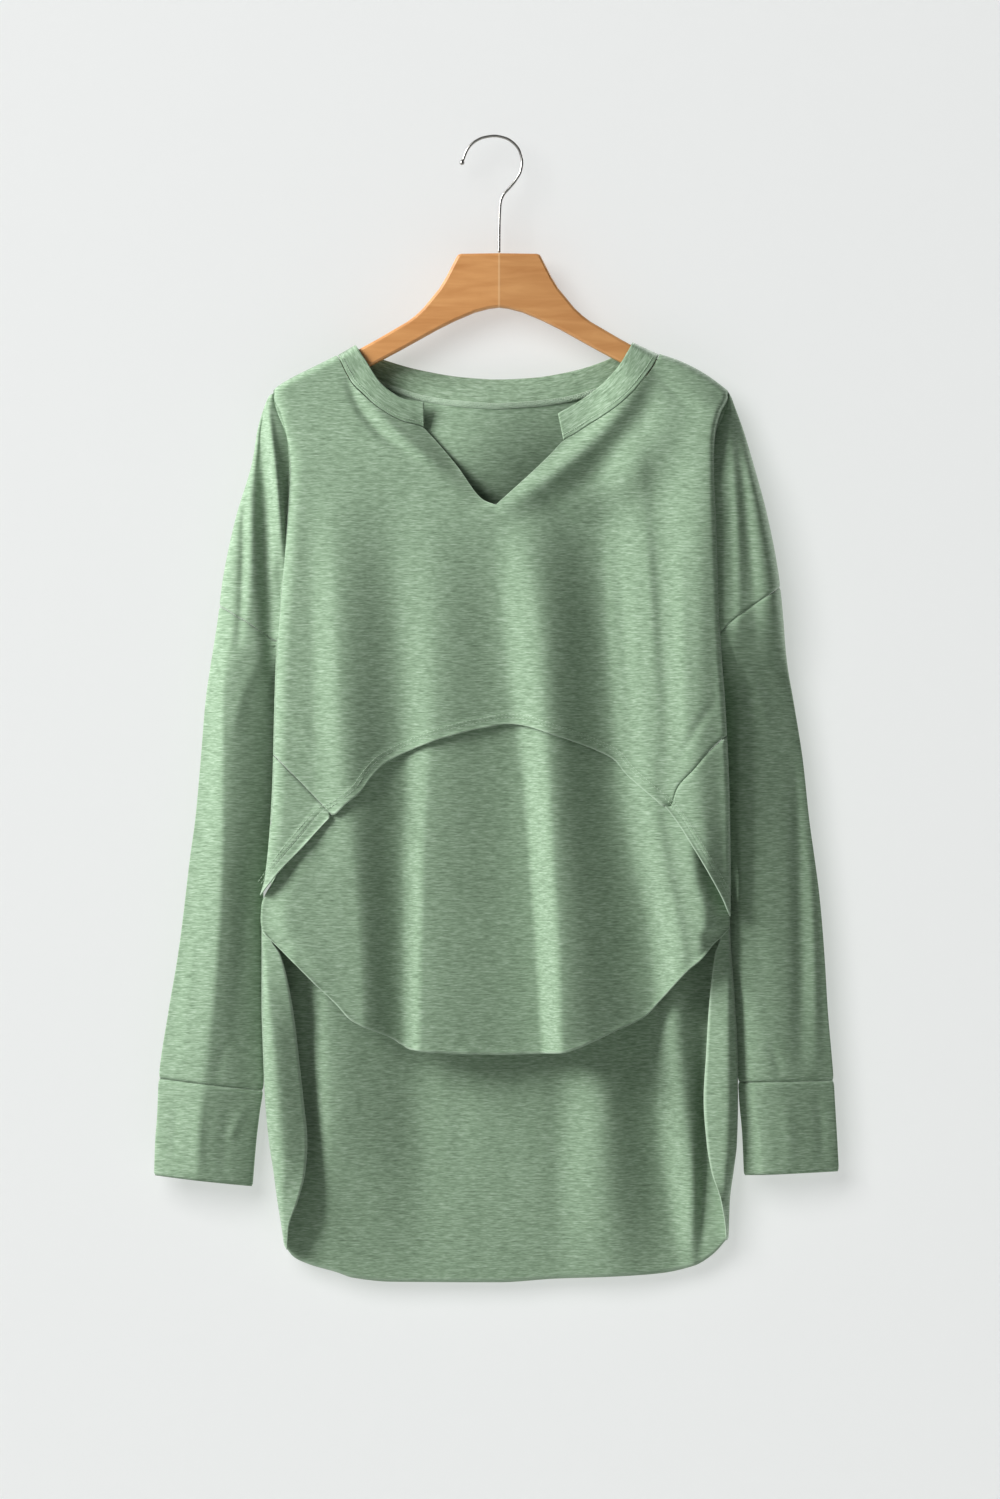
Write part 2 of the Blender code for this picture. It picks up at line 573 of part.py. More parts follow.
def material(name, colour, roughness, metallic):
    made = bpy.data.materials.new(name)
    made.use_nodes = True
    shader = made.node_tree.nodes["Principled BSDF"]
    shader.inputs["Base Color"].default_value = (*colour, 1)
    shader.inputs["Roughness"].default_value = roughness
    shader.inputs["Metallic"].default_value = metallic
    made.diffuse_color = (*colour, 1)
    return made


# Half outline of the hanger's yoke by x from its middle: upper side, then lower side back to the middle
YOKE_MIDDLE = 499.0
YOKE = [
    (0, 252.2), (38, 252.8), (41, 253.8), (43, 257), (53, 276.5), (60, 288), (69, 299), (76, 307.5),
    (84, 315), (92, 321), (102, 326.8), (122, 338.5), (142, 349.5), (162, 360.2), (200, 379.6),
    (208, 385.0), (212, 390.5), (212.5, 395.5), (208, 400.0), (190, 394), (169, 384), (129, 365.5),
    (97, 348.5), (62, 329), (44, 320), (24, 311.5), (10, 307.8), (0, 306.5),
]


def hanger_yoke(name, wood):
    """Flat yoke: half outline extruded through its thickness, mirrored, edges rounded."""
    bm = bmesh.new()
    corners = [bm.verts.new(sheet_point(YOKE_MIDDLE - x, y, -HANGER_HALF)) for x, y in YOKE]
    face = bm.faces.new(corners)
    pushed = bmesh.ops.extrude_face_region(bm, geom=[face])
    for vertex in pushed["geom"]:
        if isinstance(vertex, bmesh.types.BMVert):
            vertex.co.y += 2 * HANGER_HALF * 0.001
    middle = (YOKE_MIDDLE - CROWN[0]) * UNIT
    bmesh.ops.delete(
        bm,
        geom=[f for f in bm.faces if all(abs(v.co.x - middle) < 1e-6 for v in f.verts)],
        context="FACES_ONLY",
    )
    bmesh.ops.translate(bm, verts=bm.verts, vec=(-middle, 0, 0))
    bmesh.ops.recalc_face_normals(bm, faces=bm.faces)
    mesh = bpy.data.meshes.new(name)
    bm.to_mesh(mesh)
    bm.free()
    piece = bpy.data.objects.new(name, mesh)
    piece.location = (middle, 0, 0)
    mirror = piece.modifiers.new("other arm", "MIRROR")
    mirror.use_clip = True
    mirror.merge_threshold = 0.00001
    edges = piece.modifiers.new("rounded edges", "BEVEL")
    edges.width = 0.0022
    edges.segments = 2
    edges.limit_method = "ANGLE"
    edges.angle_limit = math.radians(60)
    mesh.materials.append(wood)
    return piece


HOOK_RADIUS = 0.0012
HOOK = [
    (461.6, 163.6, 1.2), (461.8, 162.0, 1.75), (462.4, 160.0, 1.6), (463.2, 158, 1.0), (464.4, 154.5, 1), (468, 147, 1),
    (474.5, 140.2, 1), (484, 135.8, 1), (494.5, 134.4, 1), (505, 136.4, 1), (514, 142, 1), (520, 150.5, 1),
    (522.2, 160.5, 1), (520.6, 170, 1), (516, 178.5, 1), (509.5, 186.5, 1), (503.8, 193, 1), (500.8, 200, 1),
    (499.9, 210, 1), (499.4, 230, 1), (499.2, 251.6, 1),
]


def hanger_hook(name, steel):
    """Wire hook: a round bar along a bent line, thicker at its ball tip."""
    curve = bpy.data.curves.new(name, "CURVE")
    curve.dimensions = "3D"
    curve.bevel_depth = HOOK_RADIUS
    curve.bevel_resolution = 2
    curve.use_fill_caps = True
    line = curve.splines.new("POLY")
    line.points.add(len(HOOK) - 1)
    for point, (x, y, thick) in zip(line.points, HOOK):
        point.co = (*sheet_point(x, y, 0), 1)
        point.radius = thick
    curve.materials.append(steel)
    return bpy.data.objects.new(name, curve)


def build():
    for thing in list(bpy.data.objects):
        bpy.data.objects.remove(thing, do_unlink=True)
    jersey = material("jersey", (0.24, 0.37, 0.25), 0.85, 0.0)
    wood = material("wood", (0.58, 0.29, 0.11), 0.45, 0.0)
    steel = material("steel", (0.72, 0.72, 0.70), 0.25, 1.0)
    pieces = [hanger_yoke("hanger_yoke", wood), hanger_hook("hanger_hook", steel)]

    def front_bottom(side, a):
        return bottom_on(BODICE_END, front_place, side, a, 760)

    def back_bottom(side, a):
        return bottom_on(TAIL_HEM, back_place, side, a, 1250)

    front, back = [], []
    for side in (LEFT, RIGHT):
        columns = FRONT_COLUMNS[side] + TUCKED
        front.append(torso_patch(side, columns, front_place, front_top, front_bottom, 5))
        front.append(cap_patch(side, -1))
        columns = BACK_COLUMNS[side] + TURNED
        back.append(torso_patch(side, columns, back_place, back_top, back_bottom, 12))
        back.append(cap_patch(side, 1))
    pieces.append(cloth("front_bodice", front, WALL, jersey))
    pieces.append(cloth("back_panel", back, WALL, jersey))
    pieces.append(cloth("front_lower_panel", [lower_patch(LEFT), lower_patch(RIGHT)], WALL, jersey))
    pieces.append(cloth("neckband", [band_patch()], WALL, jersey))
    for side, word in ((LEFT, "left"), (RIGHT, "right")):
        pieces.append(cloth(f"side_piece_{word}", [side_patch(side)], WALL, jersey))
        outer, inner = CUFF_TOP[side]
        low_outer, low_inner = CUFF_END[side]

        def seam(c, drop=0.0, one=inner, two=outer):
            return one + (two - one) * c + drop

        sleeve = tube_patches(side, lambda c: drop_line(side, c) + 2 * SEAM, seam, 15)
        pieces.append(cloth(f"sleeve_{word}", sleeve, WALL, jersey))
        cuff = tube_patches(
            side,
            lambda c: seam(c, 2 * SEAM),
            lambda c: low_inner + (low_outer - low_inner) * c,
            5,
        )
        pieces.append(cloth(f"cuff_{word}", cuff, CUFF_WALL, jersey))

    group = bpy.data.collections.new("long_sleeve_top")
    bpy.context.scene.collection.children.link(group)
    top = bpy.data.objects.new("long_sleeve_top", None)
    group.objects.link(top)
    for piece in pieces:
        group.objects.link(piece)
        piece.parent = top
    bpy.context.view_layer.update()


build()
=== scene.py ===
"""Looks of a long-sleeve jersey top on a wooden hanger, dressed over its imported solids.

Outlines are read on a drawing sheet, as in the part's source: x to the right, y down, one sheet unit is
UNIT metres, and depths are millimetres, negative towards the viewer. The hook's crown is the origin.
"""

import math

import bmesh
import bpy
import mathutils
import numpy as np
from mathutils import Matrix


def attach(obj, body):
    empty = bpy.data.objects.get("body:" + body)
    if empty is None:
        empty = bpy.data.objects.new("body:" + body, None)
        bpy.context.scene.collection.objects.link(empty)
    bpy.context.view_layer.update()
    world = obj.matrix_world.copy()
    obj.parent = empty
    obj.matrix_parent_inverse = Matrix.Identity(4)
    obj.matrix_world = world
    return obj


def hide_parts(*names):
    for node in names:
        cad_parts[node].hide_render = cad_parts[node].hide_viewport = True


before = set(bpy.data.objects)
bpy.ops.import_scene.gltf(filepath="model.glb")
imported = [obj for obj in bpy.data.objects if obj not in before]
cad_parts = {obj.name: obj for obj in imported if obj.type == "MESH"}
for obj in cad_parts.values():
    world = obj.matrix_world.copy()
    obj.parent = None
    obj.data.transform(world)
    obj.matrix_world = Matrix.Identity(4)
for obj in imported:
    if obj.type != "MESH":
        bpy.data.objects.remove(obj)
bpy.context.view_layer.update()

UNIT = 0.00086
CROWN = (495.6, 135.9)
CENTRE = 496.0
UNDERARM = 646.0
SEAM = 0.35
BEND = 6.5
BEHIND = 2.9
FOLD_DEPTH = 1.5
SHELL = 0.0011
HOOK_RADIUS = 0.0012
LEFT, RIGHT = -1, 1
SIDES = {LEFT: "left", RIGHT: "right"}
# How wide the torso rolls over at its sides, in sheet units, and how far back there, in mm
ROLL = {LEFT: 14.0, RIGHT: 5.0}
EDGE_ROLL = {LEFT: 8.0, RIGHT: -8.0}
TRENCH = {LEFT: 5.0, RIGHT: 0.5}
# How much fuller than an oval the caps are in front
FULL = {LEFT: 0.0, RIGHT: 1.25}


# ---------------------------------------------------------------- tables read from the sheet

def table(names, rows):
    """A short table as a dictionary of columns."""
    return dict(zip(names.split(), np.array(rows, float).T))


# Torso sides: the front's folded edge, and how far it tucks back in under itself
EDGE = {
    LEFT: table("y edge tuck", [
        (345, 271, -1), (397, 274, -1), (412, 281.5, -4), (430, 286, 0), (446, 288.5, 8),
        (466, 289.5, 17), (520, 286.5, 20), (580, 282, 20), (646, 277, 20), (700, 275, 20),
        (780, 273, 19), (840, 269.5, 16), (880, 265, 11), (900, 259.5, 7), (915, 258, 6),
    ]),
    RIGHT: table("y edge tuck", [
        (345, 732, -1), (397, 728, -1), (412, 720.5, -4), (430, 715.5, 0), (446, 713.5, 8),
        (466, 713, 17), (520, 715, 20), (580, 717.5, 20), (646, 720, 20), (700, 724, 20),
        (780, 728, 19), (840, 729.5, 16), (880, 730, 11), (900, 730, 7), (930, 730, 6),
    ]),
}
# Depth of the front, of its folded edge, and of the fold's inner end
FRONT = table("y base edge inner", [
    (345, -8.6, -2.0, -1.8), (397, -9.2, -2.6, -2.2), (412, -10.2, -7.5, -4.0),
    (430, -12.0, -12.0, -7.5), (450, -14.5, -15.0, -10.0), (480, -17.0, -16.8, -11.5),
    (520, -18.5, -17.2, -11.5), (600, -19.0, -17.2, -11.5), (870, -19.5, -17.5, -11.5),
    (900, -18.5, -15.5, -11.0), (940, -18.5, -15.0, -11.0), (1055, -18.0, -15.0, -11.0),
])
# Limbs: silhouette, inner side below the underarm, and half depths to the front and to the back
LIMB = {
    LEFT: table("y outer inner depth front back", [
        (393, 271, 273, -0.8, 2.4, 2.4), (398, 267.6, 274, -1.6, 3.4, 3.4), (405, 264.8, 275, -2.8, 4.8, 4.8),
        (412, 262.3, 277, -4, 6, 6), (430, 257.4, 286, -8, 9, 9),
        (460, 252.5, 303, -10, 11, 11), (520, 235, 306, -11, 12.5, 13), (580, 222.5, 302, -11, 13.5, 14),
        (620, 217.5, 298, -11, 14, 14), (646, 213.5, 293.5, -9, 13.5, 14), (668, 210, 286, -2, 13, 13),
        (700, 205.5, 279, 4, 12.5, 13), (760, 200.5, 276, 5, 12.5, 13), (820, 195, 272.5, 5, 12.5, 13),
        (860, 189.5, 267, 5, 12, 12.5), (890, 186, 262, 5, 12, 12), (920, 182.5, 262.3, 6, 12, 12),
        (960, 177, 262.3, 6, 12, 12), (1010, 168.5, 262.3, 5, 12, 12), (1080, 158.5, 262.5, 2, 11.5, 12),
        (1116, 157, 258, 1, 11, 11), (1142, 155, 255, 1, 10.5, 11), (1190, 153.5, 251, 1, 10, 10),
    ]),
    RIGHT: table("y outer inner depth front back", [
        (393, 729.4, 728, -0.8, 2.4, 2.4), (398, 731.8, 727, -1.6, 3.4, 3.4), (405, 734.4, 726, -2.8, 4.8, 4.8),
        (412, 737, 724.5, -4, 6, 6), (430, 743.5, 715.5, -8, 9, 9),
        (460, 752.5, 698, -10, 11, 11), (520, 768.5, 695, -11, 12.5, 13), (580, 779.5, 697.5, -11, 13.5, 14),
        (620, 783.5, 699.5, -11, 14, 14), (646, 785.5, 703.5, -9, 13.5, 14), (668, 788, 711, -5, 13, 13),
        (700, 793.5, 720, 0, 12.5, 13), (760, 803, 725, 1, 12.5, 13), (820, 809.5, 727, 1, 12.5, 13),
        (860, 815, 728.6, 3, 12, 12.5), (890, 819, 729, 5, 12, 12), (920, 822, 729.2, 6, 12, 12),
        (960, 825, 731.4, 6, 12, 12), (1010, 828, 735.2, 5, 12, 12), (1082, 834, 739.5, 2, 11.5, 12),
        (1101, 835, 740.5, 1, 11, 11), (1134, 837, 743.5, 1, 10.5, 11), (1180, 839.5, 745.5, 1, 10, 10),
    ]),
}
# Back panel outside its flat part: first to fourth support, inward from the folded edge, with depths
WRAP = table("y in1 d1 in2 d2 in3 d3 in4 d4", [
    (345, 3, 2.4, 2, 2.2, 0.5, 2.0, -1, 1.9), (397, 2, 2.8, 1, 2.6, 0, 2.4, -1, 2.3),
    (412, 8, 8, 4, 7, 0, 6, -4, 4), (430, 12, 11, 7, 10, 3, 8.5, 0, 7.5),
    (450, 18, 13.5, 14, 12, 11, 9.5, 9, 8), (520, 24, 16, 19, 13.5, 17, 9.5, 16, 7.5),
    (590, 27, 16, 22, 13, 20, 7, 18, 1), (646, 30, 16, 25, 11, 23, 0, 20, -9.8),
    (780, 26, 15.5, 20, 11, 20, 0, 19, -9.8), (840, 20, 14, 13, 9, 14, -1, 15.5, -9.8),
    (880, 15, 12, 6, 5, 7, -4, 10, -9.8),
])
# The same supports where the sides of the tail turn forward, as sheet positions
TAIL = {
    LEFT: table("y x1 d1 x2 d2 x3 d3 x4 d4", [
        (915, 276, 11, 261.5, 1, 262.3, -8.5, 268, -12), (939, 278, 11, 261.5, 0, 263, -9.5, 270.4, -12.6),
        (955, 280, 11, 261.5, 0, 265, -10, 280.5, -12.9), (1004, 284, 11, 261.5, -1, 270, -13, 292, -10.5),
        (1054, 286, 11, 263, -1, 275, -13, 298, -6), (1100, 288, 11, 265, -1, 279, -13, 303, -6),
        (1143, 290, 11, 269, -1, 283, -12, 307, -6), (1173, 292, 11, 273.5, -1, 285, -11, 305, -8.5),
        (1200, 294, 11, 277, 0, 283, -8, 298, -10), (1229, 298, 11, 281.5, 2, 283.5, -4, 288, -6),
        (1262, 302, 11, 286, 6, 285, 2, 286, 0),
    ]),
    RIGHT: table("y x1 d1 x2 d2 x3 d3 x4 d4", [
        (915, 714, 11, 729.5, 1, 728.7, -8.5, 724.2, -12), (939, 713, 11, 730.5, 0, 728, -9.5, 720.4, -12.6),
        (955, 712, 11, 731.5, 0, 727, -10, 715, -12.9), (1004, 710, 11, 735, -1, 728, -13.5, 709.5, -9.5),
        (1054, 708, 11, 737.5, -1, 728, -13.5, 706.5, -8), (1100, 707, 11, 738, -1, 728, -13.5, 704, -8),
        (1143, 706, 11, 737, -1, 727, -12.5, 707, -8), (1173, 705, 11, 733.5, -1, 725, -11.5, 712, -8.5),
        (1200, 704, 11, 730, 0, 724, -8, 721, -10), (1229, 702, 11, 729, 2, 727, -4, 726, -6),
        (1262, 700, 11, 728, 6, 728.5, 2, 728, 0),
    ]),
}
# Top line of the shoulders along the hanger, and the neck and slit edge below it, by x
SHOULDER = {
    LEFT: table("x y", [
        (266, 395), (272, 391), (278, 385.5), (292, 377), (314, 366), (335, 355.5), (357, 344),
        (380, 332), (397, 323), (415, 312), (430, 297), (446, 275), (496, 255),
    ]),
    RIGHT: table("x y", [
        (496, 255), (553, 278), (567, 298), (583, 312), (600, 323), (620, 334), (641, 344),
        (659, 353), (676, 358.8), (692, 366), (707, 374.6), (720, 384), (729, 391), (735, 395),
    ]),
}
NECK = {
    LEFT: table("x y", [
        (337, 355), (340, 361), (345, 371), (352, 383), (364, 395), (375, 405), (390, 415),
        (404, 421.5), (421.5, 426), (428, 432), (455, 463), (484, 500), (496, 504.5),
    ]),
    RIGHT: table("x y", [
        (496, 504.5), (531, 473), (550, 454.5), (564, 440), (574, 434.5), (587, 426), (604, 415.5),
        (620, 404), (635, 390), (647, 375), (654, 365), (660, 354.5),
    ]),
}
BACK_NECK = {
    LEFT: table("x y", [(337, 355), (341, 360), (352, 369), (372, 380), (397, 391), (424, 399), (464, 405), (496, 407)]),
    RIGHT: table("x y", [(496, 407), (531, 404.5), (571, 399), (600, 390), (625, 380), (645, 368), (655, 360), (660, 354.5)]),
}
# Lower edges, by x: the bodice with its diagonal side seams, the arched hem, the lower hem, the tail
BODICE_END = table("x y", [
    (250, 742), (272, 754), (292, 773), (310, 791.5), (322, 804), (333, 815), (347, 803.5), (361, 791.5),
    (370, 779), (384, 764), (402, 754), (443, 738), (480, 728.6), (510, 724), (560, 737), (596, 750),
    (614, 759.5), (625, 773), (640, 787), (653, 798), (664, 806.5), (671, 805), (676, 789), (694, 768),
    (708, 751), (721, 739), (745, 722),
])
ARCH = table("x y", [
    (250, 908), (259, 897), (270, 883), (280, 871), (303, 847), (333, 814.8), (347, 804), (361, 792),
    (370, 779), (384, 764), (402, 754), (443, 738), (480, 728.6), (510, 724), (560, 737), (596, 750),
    (614, 759.5), (625, 773), (640, 787), (653, 798), (664, 806.5), (676, 821), (696, 853), (708, 873),
    (721, 896), (730, 916), (738, 930),
])
SIDE_TOP = {
    LEFT: table("x y", [(250, 743), (272, 755), (292, 774), (310, 792.5), (322, 805), (333, 816)]),
    RIGHT: table("x y", [(658, 803.2), (671, 806), (676, 790), (694, 769), (708, 752), (721, 740), (745, 723)]),
}
LOWER_HEM = table("x y", [
    (258, 926), (264, 934), (271.5, 941), (290, 959), (311, 980), (333, 1001), (354, 1022), (391, 1038), (411, 1050),
    (439, 1053), (500, 1055), (560, 1053), (588, 1044), (616, 1031), (644, 1018), (662, 999), (686, 972),
    (703, 957), (713, 944), (723, 936), (728, 930),
])
TAIL_HEM = table("x y", [
    (280, 1240), (293, 1259), (310, 1267), (335, 1274), (353, 1280), (393, 1284), (500, 1284.5),
    (554, 1281), (607, 1279), (661, 1275.5), (696, 1267.5), (714, 1256), (731, 1236),
])
DROP = {LEFT: (606.0, 640.0), RIGHT: (587.0, 628.0)}
CUFF_TOP = {LEFT: (1079.0, 1091.0), RIGHT: (1081.0, 1082.5)}
CUFF_END = {LEFT: (1176.0, 1187.0), RIGHT: (1172.0, 1176.0)}
# Long soft folds of the back: where each starts and ends on the sheet, half width, height in mm
BACK_FOLDS = table("x1 y1 x2 y2 wide high", [
    (350, 470, 338, 1010, 24, 7.0), (420, 560, 428, 1210, 22, 7.5), (500, 480, 494, 1080, 28, -6.0),
    (575, 560, 566, 1230, 22, 7.5), (646, 470, 664, 1210, 20, 6.5), (388, 900, 380, 1250, 20, -4.0),
    (615, 900, 622, 1250, 20, -4.0), (686, 980, 690, 1220, 16, 5.0),
])


FOLD_PATH = table("y x d", [
    (0, 0, 0), (0.1, -0.01, 0.3), (0.3, 0.2, 0.6), (0.7, 0.8, 0.66), (0.88, 0.96, 0.74), (1, 1, 1),
])


LOWER_SIDE = {
    LEFT: table("y x d", [(860, 284, -15.8), (880, 274, -15.2), (893, 266, -14.4), (905, 261.5, -13.8), (920, 260.6, -13.4), (936, 264, -13.4), (945, 270, -13.8)]),
    RIGHT: table("y x d", [(860, 715, -15.8), (885, 720.5, -15.0), (900, 727, -14.2), (912, 730, -13.8), (925, 730, -13.4), (936, 724, -13.6)]),
}


# Free edge of the neckband, as sheet places and depths, station by station from the front to the back
BAND_FRONT = {
    LEFT: [(424, 402, -9.5), (404, 398.5, -9.8), (392, 392, -10), (381, 383, -10), (373, 372, -9.8),
           (367, 362, -9.4), (361, 353, -8.8), (357.5, 347.5, -7.4)],
    RIGHT: [(558, 413, -4.5), (578, 401.5, -4), (592, 392, -4), (605, 381, -5), (615, 370.5, -7),
            (622, 361, -8.5), (627.5, 351.5, -8.2), (631.5, 344.5, -7.2)],
}
BAND_BACK = table("seam x y d", [
    (337, 355.5, 344.0, 0), (340.5, 358, 347.5, 7.6), (347, 366, 352, 9.6), (368, 384, 358.5, 10.6),
    (410, 419, 368.5, 11.5), (458, 464, 376, 12.2), (498, 498, 378, 12.4), (536, 531, 376.5, 12.2),
    (580, 571, 370, 11.5), (622, 607, 358.5, 10.6), (646, 622, 350.5, 9.6), (656, 630.5, 344.5, 7.6),
    (660, 633, 341.5, 0),
])


FRONT_COLUMNS = {
    LEFT: (0, 0.085, 0.17, 0.26, 0.345, 0.42, 0.49, 0.555, 0.61, 0.65, 0.685, 0.698, 0.7067, 0.7254,
           0.77, 0.82, 0.87, 0.92, 0.955, 0.985, 1.0),
    RIGHT: (0, 0.08, 0.16, 0.24, 0.312, 0.38, 0.45, 0.52, 0.58, 0.63, 0.67, 0.686, 0.698, 0.755,
            0.8, 0.86, 0.91, 0.955, 0.985, 1.0),
}
BACK_COLUMNS = {
    LEFT: (0, 0.09, 0.18, 0.27, 0.36, 0.45, 0.54, 0.62, 0.67, 0.699, 0.7162, 0.77, 0.83, 0.89, 0.95, 0.985, 1.0),
    RIGHT: (0, 0.09, 0.18, 0.27, 0.36, 0.45, 0.53, 0.61, 0.66, 0.689, 0.7039, 0.77, 0.83, 0.89, 0.95, 0.985, 1.0),
}


# Where the yoke's two halves are glued together
YOKE_MIDDLE = 499.0


HOOK = [
    (461.6, 163.6, 1.2), (461.8, 162.0, 1.75), (462.4, 160.0, 1.6), (463.2, 158, 1.0), (464.4, 154.5, 1), (468, 147, 1),
    (474.5, 140.2, 1), (484, 135.8, 1), (494.5, 134.4, 1), (505, 136.4, 1), (514, 142, 1), (520, 150.5, 1),
    (522.2, 160.5, 1), (520.6, 170, 1), (516, 178.5, 1), (509.5, 186.5, 1), (503.8, 193, 1), (500.8, 200, 1),
    (499.9, 210, 1), (499.4, 230, 1), (499.2, 251.6, 1),
]


# Crest and valley lines of the front's long folds, from left to right: height on the sheet, place, share of mm forward
FRONT_LINES = [table("y x high", rows) for rows in (
    [(430, 302, 0), (620, 309, 0), (780, 312, 0), (880, 314, 2.5), (1050, 306, 3)],
    [(480, 335, 0), (560, 337, 2.7), (620, 339, 4.4), (700, 341, 5.2), (780, 346, 4.6), (860, 352, 3.5), (940, 358, 2.5), (1050, 362, 2.5)],
    [(460, 390, 0), (560, 393, -1.4), (620, 397, -2.3), (700, 400, -3.2), (780, 401, -5.5), (860, 401, -8), (940, 401, -8.5), (1050, 402, -8)],
    [(500, 435, 0), (560, 436, 0.6), (620, 438, 1.2), (700, 437, 1.6), (780, 430, 0.8), (860, 425, 0), (940, 423, -0.5), (1050, 421, -0.5)],
    [(520, 490, 0), (560, 494, -1.5), (620, 499, -3), (700, 508, -3.5), (780, 521, -5.5), (860, 528, -7), (940, 534, -7), (1050, 541, -7)],
    [(520, 526, 0.5), (560, 532, 3), (620, 541, 4.8), (700, 546, 5.5), (780, 551, 6), (860, 555, 6.5), (940, 560, 7), (1050, 563, 6.5)],
    [(430, 590, -2.5), (490, 597, -5), (560, 602, -7), (620, 605, -7.6), (700, 608, -8), (780, 614, -8.5), (860, 630, -8.5), (940, 648, -9), (1050, 655, -8)],
    [(430, 640, 0), (500, 648, 0.6), (560, 651, 1.4), (700, 654, 2.0), (780, 657, 2), (860, 668, 3), (940, 684, 6), (1050, 694, 6)],
    [(400, 714, 4), (430, 711, 6.5), (500, 706, 8.5), (560, 702, 9.5), (700, 699, 10), (780, 699, 9.5), (860, 706, 9.5), (940, 712, 9), (1050, 718, 7)],
    [(400, 719, 4), (430, 716, 6.5), (500, 715, 8.5), (560, 716, 8.8), (700, 720, 8.6), (780, 724, 7.5), (860, 726, 5), (1050, 735, 0)],
)]
# The same for the inside of the tail
TAIL_LINES = [table("y x high", rows) for rows in (
    [(850, 296, 0), (1000, 298, 1), (1285, 306, 0)],
    [(850, 304, 0), (1000, 304, 1), (1200, 309, 0), (1285, 314, 0)],
    [(850, 328, 0), (990, 326, 9), (1100, 329, 9), (1180, 333, 5), (1285, 340, 0)],
    [(850, 410, 0), (1000, 412, -3), (1150, 425, -2.5), (1285, 440, -0.5)],
    [(850, 550, 0), (1000, 548, -1.5), (1150, 554, -2.5), (1285, 556, -1)],
    [(850, 594, 0), (1000, 598, 4), (1150, 602, 5), (1230, 608, 3), (1285, 616, 1)],
    [(850, 640, 0), (1003, 644, -5), (1100, 652, -6.5), (1205, 668, -5), (1285, 680, -1)],
    [(850, 674, 0), (1000, 676, 8), (1100, 684, 8), (1205, 697, 6), (1285, 706, 0)],
    [(850, 702, 0), (1000, 704, 1), (1100, 708, 1), (1285, 716, 0)],
)]
# Finer creases: start, end, half width, height in mm towards the viewer, bow sideways
FRONT_CREASES = table("x1 y1 x2 y2 wide high bow", [
    (651, 360, 496, 510, 14, 10.5, -18), (672, 392, 560, 508, 24, 7.0, -24), (404, 398, 492, 503, 13, -6.5, 0),
    (352, 378, 442, 468, 6, 2.6, 6), (346, 374, 420, 458, 5, -2.4, 14),     
    (610, 530, 628, 770, 6, 1.2, 2), (646, 520, 660, 790, 6, 1.5, -2), (680, 540, 688, 770, 7, 1.5, 1),
    (716, 700, 676, 772, 5, -1.2, 4), (280, 700, 330, 790, 8, 0.7, -5), (262, 900, 330, 985, 14, 1.2, -6),
])
BACK_CREASES = table("x1 y1 x2 y2 wide high bow", [
    (380, 440, 470, 560, 16, 1.2, 8), (620, 440, 530, 570, 16, 1.4, -8), (330, 640, 360, 900, 12, 1.0, 5),
    (672, 600, 640, 860, 12, -1.2, 5), (470, 900, 462, 1200, 12, 1.0, 4), (538, 820, 546, 1120, 14, -1.1, -4),
])
LIMB_CREASES = {
    (LEFT, -1): table("x1 y1 x2 y2 wide high bow", [
        (265, 396, 285, 590, 4, 6.0, -3), (261, 408, 272, 690, 8, -8.5, 1), (252, 440, 243, 640, 6, 2.4, -2),
        (243, 486, 238, 650, 5, -4.0, -3), (262, 655, 232, 740, 6, 0.9, 5), (246, 830, 232, 1040, 8, -0.9, -4),
        (196, 930, 184, 1070, 8, 0.9, 3), (226, 1040, 214, 1085, 5, -0.9, 0), (178, 1095, 172, 1170, 5, -0.7, 0),
        (201, 1092, 199, 1178, 6, 1.4, 2), (228, 1096, 222, 1184, 5, -0.7, 0), (250, 1100, 226, 1150, 4, 0.8, 2),
    ]),
    (LEFT, 1): table("x1 y1 x2 y2 wide high bow", [
        (268, 450, 244, 600, 6, 1.4, 3), (256, 660, 226, 760, 7, 1.2, 5), (222, 760, 206, 980, 8, -1.1, -4),
        (240, 900, 220, 1070, 7, 1.1, 3), (206, 1100, 200, 1180, 7, 0.8, 0),
    ]),
    (RIGHT, -1): table("x1 y1 x2 y2 wide high bow", [
        (727, 402, 738, 640, 5, 2.0, -4), (734, 412, 756, 650, 6, -1.6, -3), (744, 440, 772, 660, 10, 1.0, -3),
        (740, 655, 768, 735, 6, 1.0, -5), (752, 820, 770, 1030, 8, -0.9, 4), (796, 760, 800, 1075, 7, -2.6, -2), (811, 760, 816, 1075, 6, 2.2, -2),
        (770, 1040, 782, 1080, 5, -0.9, 0), (818, 1090, 824, 1165, 5, -0.8, 0), (784, 1095, 790, 1170, 7, 0.9, -2),
    ]),
    (RIGHT, 1): table("x1 y1 x2 y2 wide high bow", [
        (734, 450, 758, 590, 6, 1.4, -3), (744, 660, 774, 760, 7, 1.2, -5), (780, 760, 796, 980, 8, -1.1, 4),
        (762, 900, 780, 1070, 7, 1.1, -3), (794, 1100, 800, 1170, 7, 0.8, 0),
    ]),
}
# Where the sleeve's front has a soft ridge, as a share from the inner side to the silhouette, and how sharp
RIDGE = {
    LEFT: table("y at keen", [(560, 0.72, 0), (650, 0.80, 0.4), (720, 0.74, 0.75), (800, 0.67, 0.85), (900, 0.54, 0.85), (1000, 0.53, 0.85), (1080, 0.56, 0.7), (1190, 0.56, 0.4)]),
    RIGHT: table("y at keen", [(600, 0.5, 0), (700, 0.26, 0.6), (800, 0.14, 0.85), (1000, 0.12, 0.85), (1080, 0.14, 0.8), (1190, 0.2, 0.6)]),
}




# ---------------------------------------------------------------- curves and steps, for whole arrays

